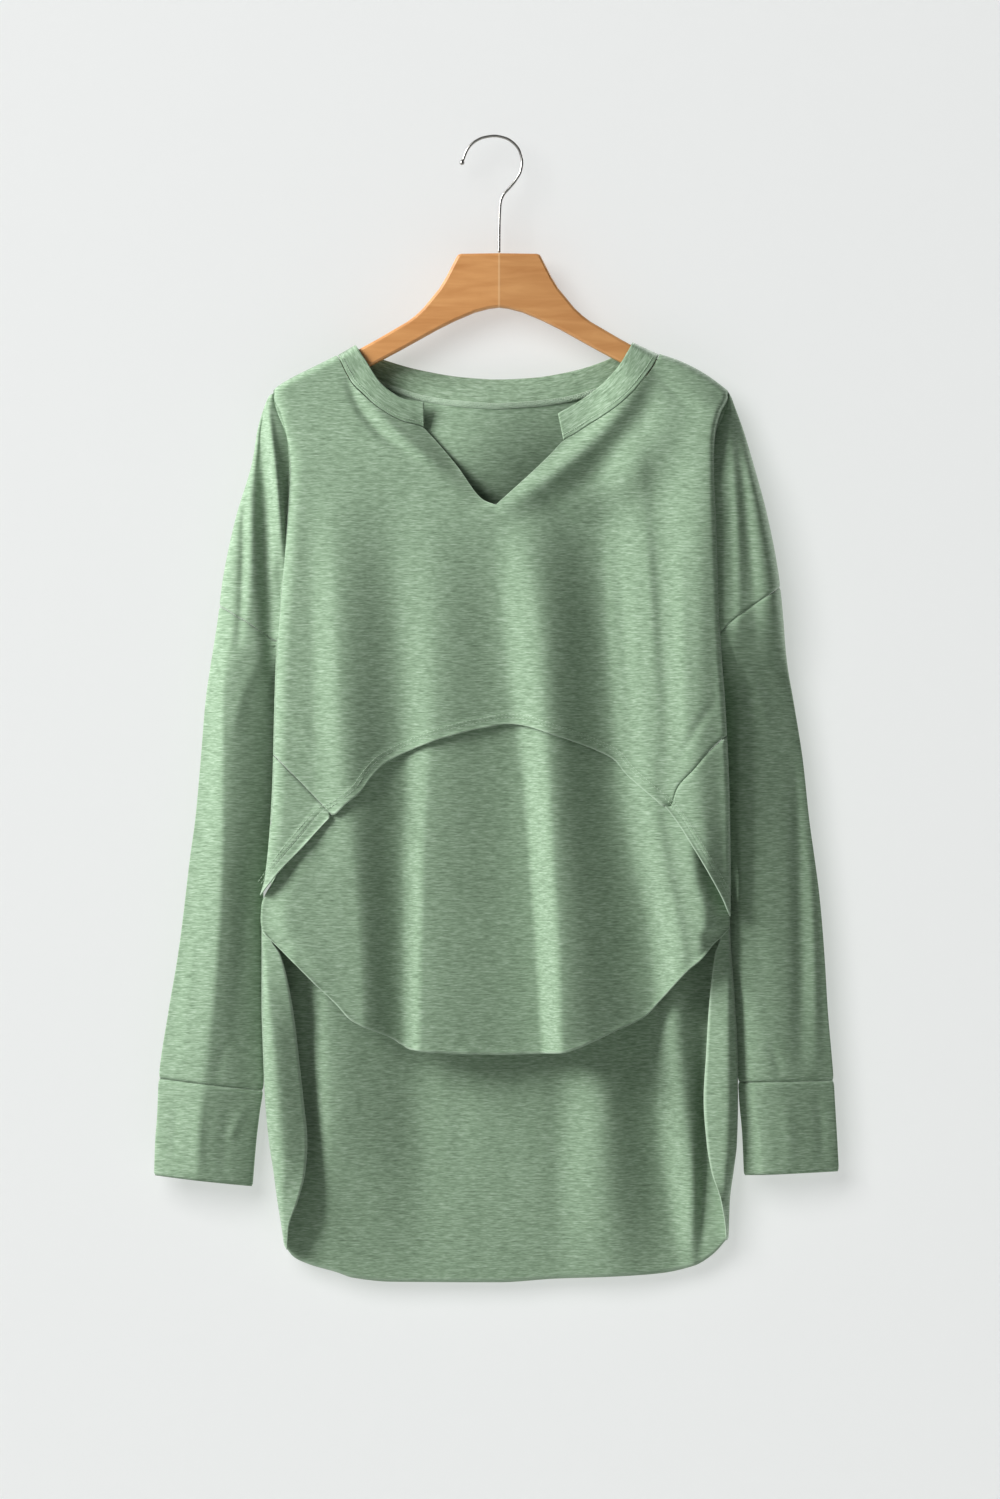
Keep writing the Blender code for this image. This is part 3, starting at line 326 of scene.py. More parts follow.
def curve(at, knots, values):
    """Smooth curve through knots: cubic pieces whose tangents are harmonic means of the neighbouring slopes."""
    knots, values = np.asarray(knots, float), np.asarray(values, float)
    step = np.diff(knots)
    slope = np.diff(values) / step
    both = slope[:-1] * slope[1:] > 0
    middle = np.where(both, 2 * slope[:-1] * slope[1:] / np.where(both, slope[:-1] + slope[1:], 1), 0)
    tangent = np.concatenate([slope[:1], middle, slope[-1:]])
    at = np.clip(at, knots[0], knots[-1])
    i = np.clip(np.searchsorted(knots, at) - 1, 0, len(step) - 1)
    h = step[i]
    t = (at - knots[i]) / h
    return (
        (2 * t**3 - 3 * t**2 + 1) * values[i]
        + (t**3 - 2 * t**2 + t) * h * tangent[i]
        + (3 * t**2 - 2 * t**3) * values[i + 1]
        + (t**3 - t**2) * h * tangent[i + 1]
    )


def read(rows, name, y):
    return curve(y, rows["y"], rows[name])


def smooth(t):
    """Soft step: 0 up to 0, 1 from 1 on, 3t^2 - 2t^3 between."""
    t = np.clip(t, 0, 1)
    return t * t * (3 - 2 * t)


def rounded(t):
    """Quarter circle: steep at 0, level from 1 on."""
    return np.sqrt(1 - (1 - np.clip(t, 0, 1)) ** 2)


def bell(t):
    return np.exp(-(t**2))


def in_metres(x, y, depth):
    """Points in metres from places on the sheet and depths in millimetres."""
    x, y, depth = np.broadcast_arrays(x, y, depth)
    return np.stack([(x - CROWN[0]) * UNIT, depth * 0.001, (CROWN[1] - y) * UNIT], -1)


def long_folds(x, y, rows):
    """Sum of long folds: each is a bell across its width that fades in and out along its length."""
    total = np.zeros(np.broadcast(x, y).shape)
    for x1, y1, x2, y2, wide, high in zip(*rows.values()):
        t = (y - y1) / (y2 - y1)
        fade = smooth((t + 0.08) / 0.3) * smooth((1.15 - t) / 0.3)
        total = total + high * fade * bell((x - x1 - (x2 - x1) * t) / wide)
    return total


def line_folds(x, y, lines):
    """Long folds: between two neighbouring crest and valley lines the cloth goes over in a soft step."""
    total = read(lines[0], "high", y)
    for near, far in zip(lines, lines[1:]):
        x1, x2 = read(near, "x", y), read(far, "x", y)
        total = total + (read(far, "high", y) - read(near, "high", y)) * smooth((x - x1) / (x2 - x1))
    return total * FOLD_DEPTH


def slant_folds(x, y, rows):
    """Sum of slanting folds: each is a bell across a bowed line, tapering to both of its ends."""
    total = np.zeros(np.broadcast(x, y).shape)
    bows = rows.get("bow", np.zeros(len(rows["x1"])))
    for x1, y1, x2, y2, wide, high, bow in zip(
        rows["x1"], rows["y1"], rows["x2"], rows["y2"], rows["wide"], rows["high"], bows
    ):
        length = math.hypot(x2 - x1, y2 - y1)
        ux, uy = (x2 - x1) / length, (y2 - y1) / length
        t = ((x - x1) * ux + (y - y1) * uy) / length
        inside = np.clip(t, 0, 1)
        off = (y - y1) * ux - (x - x1) * uy - bow * 4 * inside * (1 - inside)
        total = total + high * np.sin(math.pi * inside) ** 0.7 * bell(off / wide)
    return total


# ---------------------------------------------------------------- the cloth's own surfaces

def over_hanger(side, x, y):
    """Share of full depth where cloth bends over the hanger: a quarter circle from the shoulder line down."""
    below = (y - curve(x, SHOULDER[side]["x"], SHOULDER[side]["y"])) * UNIT * 1000
    return np.maximum(rounded(below / BEND), 0.055)


def front_place(side, a, y):
    """Front of the torso: a is 0 at the centre, 1 at the folded edge, 2 at the inner end of the tuck."""
    a, y = np.broadcast_arrays(np.asarray(a, float), y)
    edge, edge_depth = read(EDGE[side], "edge", y), read(FRONT, "edge", y)
    edge_depth = edge_depth + EDGE_ROLL[side] * smooth((y - 410) / 60) * smooth((862 - y) / 60)
    flat, turn = np.minimum(a, 1), np.clip(a - 1, 0, 1)
    x = CENTRE + (edge - CENTRE) * flat
    fold = line_folds(x, y, FRONT_LINES) + slant_folds(x, y, FRONT_CREASES)
    shoulder = curve(x, SHOULDER[side]["x"], SHOULDER[side]["y"])
    depth = read(FRONT, "base", y) - fold * smooth((y - shoulder) / 34)
    depth = edge_depth + (depth - edge_depth) * rounded(np.abs(edge - x) / ROLL[side])
    depth = depth * over_hanger(side, x, y)
    tucked_x = edge - side * read(EDGE[side], "tuck", y) * curve(turn, FOLD_PATH["y"], FOLD_PATH["x"])
    tucked = edge_depth + (read(FRONT, "inner", y) - edge_depth) * curve(turn, FOLD_PATH["y"], FOLD_PATH["d"])
    return np.where(a <= 1, x, tucked_x), y, np.where(a <= 1, depth, tucked)


def wrap_support(side, k, y):
    """Place and depth of one support of the back panel's side, k from 1 to 4, blended into the tail's."""
    low = np.minimum(y, 880)
    x = read(EDGE[side], "edge", low) - side * read(WRAP, f"in{k}", low)
    depth = read(WRAP, f"d{k}", low)
    t = smooth((y - 880) / 35)
    x = x + (read(TAIL[side], f"x{k}", y) - x) * t
    depth = depth + (read(TAIL[side], f"d{k}", y) - depth) * t
    return x, depth


def back_place(side, a, y):
    """Back panel: a is 0 at the centre, 1 where the side starts to turn, 2 at its free or sewn edge."""
    a, y = np.broadcast_arrays(np.asarray(a, float), y)
    supports = [wrap_support(side, k, y) for k in (1, 2, 3, 4)]
    x1, d1 = supports[0]
    flat, turn = np.minimum(a, 1), np.clip(a - 1, 0, 1)
    x = CENTRE + (x1 - CENTRE) * flat
    base = 9.6 + 5.4 * smooth((y - 395) / 130)
    fade = smooth((1 - flat) / 0.3)
    fade = fade + (rounded((1 - flat) / 0.06) - fade) * (1 - smooth((y - 405) / 80))
    fold = long_folds(x, y, BACK_FOLDS) * smooth((1 - flat) / 0.12) * (1 - 0.8 * smooth((y - 900) / 100))
    fold = fold + slant_folds(x, y, BACK_CREASES) - 0.9 * line_folds(x, y, TAIL_LINES) * smooth((1 - flat) / 0.05)
    base = base - 18 * bell((x - 470) / 85) * bell((y - 450) / 70) - 5 * smooth((y - 900) / 100)
    depth = d1 + (base - d1) * fade + fold * smooth((y - 440) / 80)
    place = [x, depth]
    for n in (0, 1):
        s = np.stack([support[n] for support in supports], -1)
        h = 1 / 3
        slope = np.diff(s, axis=-1) / h
        both = slope[..., :-1] * slope[..., 1:] > 0
        middle = np.where(both, 2 * slope[..., :-1] * slope[..., 1:] / np.where(both, slope[..., :-1] + slope[..., 1:], 1), 0)
        tangent = np.concatenate([slope[..., :1], middle, slope[..., -1:]], -1)
        i = np.clip(np.floor(turn * 3).astype(int), 0, 2)
        t = turn * 3 - i
        pick = lambda array, k: np.take_along_axis(array, k[..., None], -1)[..., 0]
        turned = (
            (2 * t**3 - 3 * t**2 + 1) * pick(s, i) + (t**3 - 2 * t**2 + t) * h * pick(tangent, i)
            + (3 * t**2 - 2 * t**3) * pick(s, i + 1) + (t**3 - t**2) * h * pick(tangent, i + 1)
        )
        place[n] = np.where(a <= 1, place[n], turned)
    return place[0], y, place[1] * over_hanger(side, place[0], y)


def limb_place(side, face, c, y):
    """Caps, sleeves and cuffs: c is 0 at the inner side and 1 at the silhouette, face -1 front, 1 back."""
    c, y = np.broadcast_arrays(np.asarray(c, float), y)
    rows = LIMB[side]
    outer = read(rows, "outer", y)
    upper_x, _, upper_depth = (front_place if face < 0 else back_place)(side, 2.0, y)
    sleeve = y > UNDERARM + 0.2
    inner = np.where(sleeve, read(rows, "inner", y), upper_x)
    inner_depth = np.where(sleeve, read(rows, "depth", y), upper_depth)
    gap = np.where(sleeve, 0, 0.9 - 0.6 * smooth((y - 405) / 30))
    x = inner + (outer - inner) * c
    depth = face * read(rows, "front" if face < 0 else "back", y)
    full = FULL[side] * smooth((y - 425) / 60) * smooth((690 - y) / 70) * (face < 0)
    section = np.sqrt(np.maximum(1 - np.abs(2 * c - 1) ** (2.2 + 3.8 * full), 0)) * (1 + 0.65 * full)
    if face < 0:
        at, keen = read(RIDGE[side], "at", y), read(RIDGE[side], "keen", y)
        roof = np.where(c < at, c / at, (1 - c) / (1 - at))
        roof = 1.12 * roof - 0.12 * roof**4
        section = section * (1 - keen) + section * roof * keen * 1.25
    depth = depth * section
    if face > 0:
        wedge = smooth((y - 560) / 40) * smooth((700 - y) / 40)
        depth = depth * (1 - wedge * (1 - smooth(c / 0.25))) + inner_depth * (1 - c) ** 3
    else:
        shallow = smooth((y - 430) / 30) * smooth((730 - y) / 50)
        depth = depth * (1 - 0.45 * shallow * (1 - smooth(c / 0.2))) + inner_depth * (1 - np.sqrt(c)) ** 2
        tip = 1 - smooth((y - 402) / 45)
        bulge = face * read(rows, "front", y) * 2.2 * c * (1 - c) + inner_depth * (1 - c)
        depth = depth + (bulge - depth) * tip
    depth = depth + face * gap * smooth((c - 0.7) / 0.3)
    if face < 0:
        trench = TRENCH[side] * smooth((y - 412) / 60) * smooth((UNDERARM - 10 - y) / 60)
        depth = depth + trench * bell((x - read(EDGE[side], "edge", y)) / 8) * smooth(c / 0.08)
    folds = slant_folds(x, y, LIMB_CREASES[side, face])
    depth = depth + face * folds * smooth(c / 0.12) * smooth((1 - c) / 0.12)
    return x, y, depth


def lapped_place(side, a, y):
    """Lower panel: as the front, but just behind it, out to the side seam below the bodice."""
    side_x = read(LOWER_SIDE[side], "x", y)
    x = CENTRE + (side_x - CENTRE) * a
    share = (x - CENTRE) / (read(EDGE[side], "edge", y) - CENTRE)
    _, _, depth = front_place(side, np.minimum(share, 0.97), y)
    side_depth = read(LOWER_SIDE[side], "d", y)
    fade = smooth((1 - a) / 0.12)
    return x, y, side_depth + (depth + BEHIND - side_depth) * fade


def meet(find, start):
    """Heights at which columns meet a line that is given by x, by repeated halving of the difference."""
    y = start
    for _ in range(40):
        y = 0.5 * y + 0.5 * find(y)
    return y


def top_of(place, neck, side, a):
    """Upper edge of torso columns: the neck inside its ends, the shoulder line outside, then the tip."""
    def find(y):
        x = place(side, np.minimum(a, 1), y)[0]
        inside = (x >= neck["x"][0]) & (x <= neck["x"][-1])
        shoulder = curve(x, SHOULDER[side]["x"], SHOULDER[side]["y"])
        return np.where(inside, curve(x, neck["x"], neck["y"]) + SEAM, shoulder)

    top = meet(find, np.where(a < 0.72, 420.0, 385.0))
    return np.where(a > 1, 391.6 + (393.0 - 391.6) * (a - 1), top)


def bottom_of(place, rows, side, a, start):
    return meet(lambda y: curve(place(side, a, y)[0], rows["x"], rows["y"]), np.full(len(a), float(start)))


def drop_line(side, c):
    """Height of the drop-shoulder seam: lowest at the underarm, a soft curve up to the silhouette."""
    outer, fold = DROP[side]
    rise = fold + (outer - fold) * (np.maximum(c - 0.3, 0) / 0.7) ** 0.85
    return np.where(c < 0.3, UNDERARM + (fold - UNDERARM) * c / 0.3, rise)


# ---------------------------------------------------------------- grids and meshes

def finer(knots, step):
    """Columns of the pattern with equal ones put between them, no further apart than step."""
    parts = [np.linspace(p, q, max(1, math.ceil((q - p) / step - 1e-9)), endpoint=False) for p, q in zip(knots, knots[1:])]
    return np.concatenate([*parts, [knots[-1]]])


def close_start(count, near=0.12):
    """Shares from 0 to 1 that start close together: (sqrt(t^2 + near^2) - near), scaled to end at 1."""
    t = np.linspace(0, 1, count)
    return (np.sqrt(t**2 + near**2) - near) / (math.sqrt(1 + near**2) - near)


def heights(top, middle, bottom, upper, lower):
    """Rows of each column: given shares down to the underarm, then equal steps to the lower edge."""
    first = top[:, None] + (middle - top[:, None]) * upper
    second = middle + (bottom[:, None] - middle) * (np.arange(1, lower + 1) / lower)
    return np.concatenate([first, second], 1)


def lifted(points, height, face, ends=None):
    """The grid moved by height in mm along its outward normals, the cross products of its central differences.

    face says whether outwards is towards the viewer (-1) or away (1); ends are the side's sign on a tube,
    whose two edge columns then point straight sideways, so that front and back stay sewn.
    """
    n = np.cross(np.gradient(points, axis=0), np.gradient(points, axis=1))
    n = n / np.maximum(np.linalg.norm(n, axis=-1, keepdims=True), 1e-12)
    n = n * (face * np.sign(n[..., 1].sum()))
    if ends is not None:
        n[0], n[-1] = (-ends, 0, 0), (ends, 0, 0)
    return points + n * (np.broadcast_to(height, points.shape[:2]) * 0.001)[..., None]


def cloth_uv(points, start=0.0, way=1):
    """Metres along the cloth: the level distance covered along each row, and the height."""
    step = np.linalg.norm(np.diff(points[..., :2], axis=0), axis=-1)
    across = np.concatenate([np.zeros((1, points.shape[1])), np.cumsum(step, 0)])
    return np.stack([way * (across + start), points[..., 2]], -1)


def grid_faces(columns, rows, first=0):
    i, j = np.meshgrid(np.arange(columns - 1), np.arange(rows - 1), indexing="ij")
    k = first + i * rows + j
    return np.stack([k, k + rows, k + rows + 1, k + 1], -1).reshape(-1, 4)


def mesh_piece(name, points, faces, uv, material, raw=None):
    """A mesh object at the origin from arrays, its pattern held in a UV map in metres of cloth.

    raw is 1 along a cut edge and 0 elsewhere, as the mask of a painted highlight there.
    """
    mesh = bpy.data.meshes.new(name)
    mesh.vertices.add(len(points))
    mesh.vertices.foreach_set("co", points.astype(np.float32).ravel())
    width = faces.shape[1]
    mesh.loops.add(faces.size)
    mesh.loops.foreach_set("vertex_index", faces.astype(np.int32).ravel())
    mesh.polygons.add(len(faces))
    mesh.polygons.foreach_set("loop_start", np.arange(0, faces.size, width, dtype=np.int32))
    mesh.polygons.foreach_set("use_smooth", np.ones(len(faces), bool))
    mesh.update(calc_edges=True)
    layer = mesh.uv_layers.new(name="cloth")
    layer.data.foreach_set("uv", uv[faces.ravel()].astype(np.float32).ravel())
    if raw is not None:
        mesh.attributes.new("raw_edge_highlight", "FLOAT", "POINT").data.foreach_set("value", raw.astype(np.float32))
    mesh.materials.append(material)
    piece = bpy.data.objects.new(name, mesh)
    bpy.context.scene.collection.objects.link(piece)
    return piece


def sewn_cloth(name, grids, materials, thickness=SHELL):
    """Cloth from grids of points: one face a cell, edges that coincide sewn, then a thin wall."""
    points, faces, uv, edges, count = [], [], [], [], 0
    for grid, pattern, *raw in grids:
        # the third item of a grid, if given, is the mask of painted highlight along cut edges
        edges.append(np.broadcast_to(raw[0] if raw else 0.0, grid.shape[:2]).ravel())
        points.append(grid.reshape(-1, 3))
        uv.append(pattern.reshape(-1, 2))
        faces.append(grid_faces(*grid.shape[:2], count))
        count += grid.shape[0] * grid.shape[1]
    piece = mesh_piece(name, np.concatenate(points), np.concatenate(faces), np.concatenate(uv), materials[0], np.concatenate(edges))
    bm = bmesh.new()
    bm.from_mesh(piece.data)
    bmesh.ops.remove_doubles(bm, verts=bm.verts, dist=0.000015)
    bmesh.ops.recalc_face_normals(bm, faces=bm.faces)
    bm.to_mesh(piece.data)
    bm.free()
    for extra in materials[1:]:
        piece.data.materials.append(extra)
    wall = piece.modifiers.new("wall", "SOLIDIFY")
    wall.thickness = thickness
    wall.offset = 0.0
    wall.use_quality_normals = True
    return piece


# ---------------------------------------------------------------- materials

def value_node(tree, kind, **settings):
    node = tree.nodes.new(kind)
    for name, value in settings.items():
        setattr(node, name, value)
    return node


def heather_group():
    """Heather yarn: streaks of noise stretched along the knit rows, over soft blotches.

    Outputs a mask from pale to dark yarn and a height for the knit's fine surface.
    """
    group = bpy.data.node_groups.new("heather_yarn", "ShaderNodeTree")
    make = group.interface.new_socket
    make(name="Cloth", in_out="INPUT", socket_type="NodeSocketVector")
    for name, value in (("Streak length", 0.0125), ("Streak height", 0.0015), ("Contrast", 1.0)):
        make(name=name, in_out="INPUT", socket_type="NodeSocketFloat").default_value = value
    make(name="Yarn", in_out="OUTPUT", socket_type="NodeSocketFloat")
    make(name="Height", in_out="OUTPUT", socket_type="NodeSocketFloat")
    nodes, link = group.nodes, group.links.new
    given, out = nodes.new("NodeGroupInput"), nodes.new("NodeGroupOutput")
    split = nodes.new("ShaderNodeSeparateXYZ")
    link(given.outputs["Cloth"], split.inputs[0])

    def stretched(length, height, share, detail):
        """Noise whose cell is share times the streak's length and height."""
        parts = []
        for axis, size in (("X", length), ("Y", height)):
            scaled = value_node(group, "ShaderNodeMath", operation="MULTIPLY")
            link(size, scaled.inputs[0])
            scaled.inputs[1].default_value = share
            divided = value_node(group, "ShaderNodeMath", operation="DIVIDE")
            link(split.outputs[axis], divided.inputs[0])
            link(scaled.outputs[0], divided.inputs[1])
            parts.append(divided.outputs[0])
        joined = nodes.new("ShaderNodeCombineXYZ")
        link(parts[0], joined.inputs[0])
        link(parts[1], joined.inputs[1])
        noise = nodes.new("ShaderNodeTexNoise")
        noise.inputs["Scale"].default_value = 1.0
        noise.inputs["Detail"].default_value = detail
        noise.inputs["Roughness"].default_value = 0.55
        noise.inputs["Distortion"].default_value = 0.4
        link(joined.outputs[0], noise.inputs["Vector"])
        return noise.outputs["Fac"]

    def mixed(pairs):
        """Sum of signals times their weights."""
        total = None
        for signal, weight in pairs:
            scaled = value_node(group, "ShaderNodeMath", operation="MULTIPLY_ADD")
            link(signal, scaled.inputs[0])
            scaled.inputs[1].default_value = weight
            if total is None:
                scaled.inputs[2].default_value = 0.0
            else:
                link(total, scaled.inputs[2])
            total = scaled.outputs[0]
        return total

    length, height = given.outputs["Streak length"], given.outputs["Streak height"]
    long_streak = stretched(length, height, 1.0, 2.0)
    short_streak = stretched(length, height, 0.45, 1.0)
    blotch = stretched(length, height, 5.0, 1.0)
    yarn = mixed([(long_streak, 0.5), (short_streak, 0.45), (blotch, 0.05)])
    centred = value_node(group, "ShaderNodeMath", operation="SUBTRACT")
    link(yarn, centred.inputs[0])
    centred.inputs[1].default_value = 0.5
    stronger = value_node(group, "ShaderNodeMath", operation="MULTIPLY_ADD", use_clamp=True)
    link(centred.outputs[0], stronger.inputs[0])
    link(given.outputs["Contrast"], stronger.inputs[1])
    stronger.inputs[2].default_value = 0.5
    link(stronger.outputs[0], out.inputs["Yarn"])
    link(mixed([(long_streak, 0.4), (short_streak, 0.6)]), out.inputs["Height"])
    return group


def jersey(name, dark, middle, pale, group, contrast=2.3):
    """Brushed heather jersey: yarn streaks through a colour ramp, fine bump, soft sheen."""
    made = bpy.data.materials.new(name)
    made.use_nodes = True
    tree = made.node_tree
    shader = tree.nodes["Principled BSDF"]
    cloth = value_node(tree, "ShaderNodeUVMap", uv_map="cloth")
    yarn = value_node(tree, "ShaderNodeGroup", node_tree=group)
    yarn.inputs["Contrast"].default_value = contrast
    tree.links.new(cloth.outputs["UV"], yarn.inputs["Cloth"])
    ramp = tree.nodes.new("ShaderNodeValToRGB")
    ramp.color_ramp.elements[0].color = (*dark, 1)
    ramp.color_ramp.elements[1].color = (*pale, 1)
    ramp.color_ramp.elements.new(0.5).color = (*middle, 1)
    tree.links.new(yarn.outputs["Yarn"], ramp.inputs["Fac"])
    # painted highlight: along cut edges the colour goes over to a tone paler than the pale yarn
    edge_highlight_mask = value_node(tree, "ShaderNodeAttribute", attribute_name="raw_edge_highlight")
    edge_highlighted = value_node(tree, "ShaderNodeMix", data_type="RGBA")
    tree.links.new(edge_highlight_mask.outputs["Fac"], edge_highlighted.inputs["Factor"])
    tree.links.new(ramp.outputs["Color"], edge_highlighted.inputs[6])
    edge_highlighted.inputs[7].default_value = (*(min(1.0, 1.15 * value) for value in pale), 1)
    tree.links.new(edge_highlighted.outputs[2], shader.inputs["Base Color"])
    bump = tree.nodes.new("ShaderNodeBump")
    bump.inputs["Strength"].default_value = 0.35
    bump.inputs["Distance"].default_value = 0.0004
    tree.links.new(yarn.outputs["Height"], bump.inputs["Height"])
    tree.links.new(bump.outputs["Normal"], shader.inputs["Normal"])
    shader.inputs["Roughness"].default_value = 0.92
    shader.inputs["Specular IOR Level"].default_value = 0.2
    shader.inputs["Sheen Weight"].default_value = 0.4
    shader.inputs["Sheen Roughness"].default_value = 0.5
    shader.inputs["Sheen Tint"].default_value = (0.93, 0.98, 0.93, 1)
    return made


def sewing_thread():
    """Spun polyester thread: fine noise between two greens a little paler than the cloth."""
    made = bpy.data.materials.new("sewing_thread")
    made.use_nodes = True
    tree = made.node_tree
    shader = tree.nodes["Principled BSDF"]
    place = tree.nodes.new("ShaderNodeTexCoord")
    noise = tree.nodes.new("ShaderNodeTexNoise")
    noise.inputs["Scale"].default_value = 900.0
    ramp = tree.nodes.new("ShaderNodeValToRGB")
    ramp.color_ramp.elements[0].color = (0.30, 0.42, 0.29, 1)
    ramp.color_ramp.elements[1].color = (0.50, 0.62, 0.48, 1)
    tree.links.new(place.outputs["Object"], noise.inputs["Vector"])
    tree.links.new(noise.outputs["Fac"], ramp.inputs["Fac"])
    tree.links.new(ramp.outputs["Color"], shader.inputs["Base Color"])
    shader.inputs["Roughness"].default_value = 0.6
    return made


def oiled_wood():
    """Oiled beech: noise stretched along the level grain, with a satin coat."""
    made = bpy.data.materials.new("oiled_wood")
    made.use_nodes = True
    tree = made.node_tree
    shader = tree.nodes["Principled BSDF"]
    place = tree.nodes.new("ShaderNodeTexCoord")
    turn = tree.nodes.new("ShaderNodeMapping")
    turn.inputs["Scale"].default_value = (14, 120, 120)
    tree.links.new(place.outputs["Object"], turn.inputs["Vector"])
    noise = tree.nodes.new("ShaderNodeTexNoise")
    noise.inputs["Scale"].default_value = 1.0
    noise.inputs["Detail"].default_value = 5.0
    noise.inputs["Distortion"].default_value = 0.6
    tree.links.new(turn.outputs["Vector"], noise.inputs["Vector"])
    ramp = tree.nodes.new("ShaderNodeValToRGB")
    ramp.color_ramp.elements[0].position = 0.3
    ramp.color_ramp.elements[0].color = (0.46, 0.20, 0.062, 1)
    ramp.color_ramp.elements[1].position = 0.7
    ramp.color_ramp.elements[1].color = (0.60, 0.30, 0.11, 1)
    tree.links.new(noise.outputs["Fac"], ramp.inputs["Fac"])
    split = tree.nodes.new("ShaderNodeSeparateXYZ")
    tree.links.new(place.outputs["Object"], split.inputs[0])
    middle = (YOKE_MIDDLE - CROWN[0]) * UNIT
    half = value_node(tree, "ShaderNodeMapRange", interpolation_type="SMOOTHSTEP")
    half.inputs["From Min"].default_value, half.inputs["From Max"].default_value = middle - 0.0006, middle + 0.0006
    half.inputs["To Min"].default_value, half.inputs["To Max"].default_value = 1.05, 0.95
    tree.links.new(split.outputs["X"], half.inputs["Value"])
    away = value_node(tree, "ShaderNodeMath", operation="SUBTRACT")
    tree.links.new(split.outputs["X"], away.inputs[0])
    away.inputs[1].default_value = middle
    off = value_node(tree, "ShaderNodeMath", operation="ABSOLUTE")
    tree.links.new(away.outputs[0], off.inputs[0])
    joint = value_node(tree, "ShaderNodeMapRange", interpolation_type="SMOOTHSTEP")
    joint.inputs["From Min"].default_value, joint.inputs["From Max"].default_value = 0.0004, 0.0011
    joint.inputs["To Min"].default_value, joint.inputs["To Max"].default_value = 0.5, 0.0
    tree.links.new(off.outputs[0], joint.inputs["Value"])
    shade = value_node(tree, "ShaderNodeVectorMath", operation="SCALE")
    tree.links.new(ramp.outputs["Color"], shade.inputs[0])
    tree.links.new(half.outputs["Result"], shade.inputs["Scale"])
    glued = value_node(tree, "ShaderNodeMix", data_type="RGBA")
    tree.links.new(joint.outputs["Result"], glued.inputs["Factor"])
    tree.links.new(shade.outputs[0], glued.inputs[6])
    glued.inputs[7].default_value = (0.72, 0.46, 0.24, 1)
    tree.links.new(glued.outputs[2], shader.inputs["Base Color"])
    shader.inputs["Roughness"].default_value = 0.42
    return made


def nickel():
    """Drawn nickel wire: metal with a faint unevenness in its polish."""
    made = bpy.data.materials.new("nickel_wire")
    made.use_nodes = True
    tree = made.node_tree
    shader = tree.nodes["Principled BSDF"]
    place = tree.nodes.new("ShaderNodeTexCoord")
    noise = tree.nodes.new("ShaderNodeTexNoise")
    noise.inputs["Scale"].default_value = 600.0
    tree.links.new(place.outputs["Object"], noise.inputs["Vector"])
    rough = tree.nodes.new("ShaderNodeMapRange")
    rough.inputs["To Min"].default_value = 0.22
    rough.inputs["To Max"].default_value = 0.36
    tree.links.new(noise.outputs["Fac"], rough.inputs["Value"])
    tree.links.new(rough.outputs["Result"], shader.inputs["Roughness"])
    shader.inputs["Base Color"].default_value = (0.36, 0.35, 0.33, 1)
    shader.inputs["Metallic"].default_value = 1.0
    return made


# ---------------------------------------------------------------- the pieces

UPPER = close_start(110)
CAP = 0.5 - 0.5 * np.cos(math.pi * np.linspace(0, 1, 49))


def above_arch(x, y):
    """Distance from the arched hem, square to it."""
    slope = (curve(x + 1, ARCH["x"], ARCH["y"]) - curve(x - 1, ARCH["x"], ARCH["y"])) / 2
    return (curve(x, ARCH["x"], ARCH["y"]) - y) / np.sqrt(1 + slope**2)


def hem_relief(off, x):
    """Turned hem: it stands out, its edge curls forward, and two needle lines sink in."""
    uneven = 1 + 0.35 * np.sin(x * 0.21) + 0.25 * np.sin(x * 0.083 + 1)
    wide = hem_width(x)
    band = 0.8 * smooth((wide + 1 - off) / 2)
    return 0.9 * uneven * bell(off / 2.0) + band - 0.45 * bell((off - 0.6 * wide) / 0.9) - 0.45 * bell((off - 0.9 * wide) / 0.9)


def hem_width(x):
    """Width of the turned hem: 11 units, and 17 towards the left side seam."""
    return 11 + 6 * smooth((342 - x) / 16) * smooth((x - 262) / 50)


def cut_edge_highlight(off):
    """Painted highlight along a cut edge: full at the edge, gone 1.6 units in."""
    return 0.55 * smooth((1.6 - off) / 1.2)


def torso_half(side, columns, place, neck, bottom_line, start, lower):
    a = columns[:, None]
    y = heights(top_of(place, neck, side, columns), UNDERARM, bottom_of(place, bottom_line, side, columns, start), UPPER, lower)
    points = in_metres(*place(side, a, y))
    return points, y, a


def cap(side, face):
    c = CAP[:, None]
    top = 393.0 + 1.5 * c
    y = top + (drop_line(side, c) - top) * UPPER
    points = in_metres(*limb_place(side, face, c, y))
    points = lifted(points, -0.9 * bell((y[:, -1:] - y) / 1.6) * smooth(c / 0.1), face, side)
    return points, cloth_uv(points, 0.3, side)


def front_bodice(cloths):
    """Front: two halves of front_place from the centre to the tuck, with a cap of limb_place on each."""
    grids = []
    for side in (LEFT, RIGHT):
        columns = np.concatenate([finer(FRONT_COLUMNS[side], 0.0135), finer((1.0, 1.1, 1.3, 1.7, 1.88, 2.0), 0.05)[1:]])
        points, y, a = torso_half(side, columns, front_place, NECK[side], BODICE_END, 760, 60)
        x = points[..., 0] / UNIT + CROWN[0]
        raw = smooth((x - 331) / 4) * smooth((668 - x) / 4)
        off = above_arch(x, y)
        points[..., 1] -= 0.001 * (raw * hem_relief(off, x) - (1 - raw) * 1.1 * bell((y[:, -1:] - y) / 1.8) * (a < 1.9))
        slit = np.abs(curve(x, NECK[side]["x"], NECK[side]["y"]) - y) * (np.abs(x - 493) < 71) + 99 * (np.abs(x - 493) > 70)
        # painted highlight along the raw arched hem and along the slit's edge
        grids += [(points, cloth_uv(points, 0, side), raw * cut_edge_highlight(off) + 0.7 * cut_edge_highlight(slit)), cap(side, -1)]
    return sewn_cloth("front_bodice_cloth", grids, cloths)


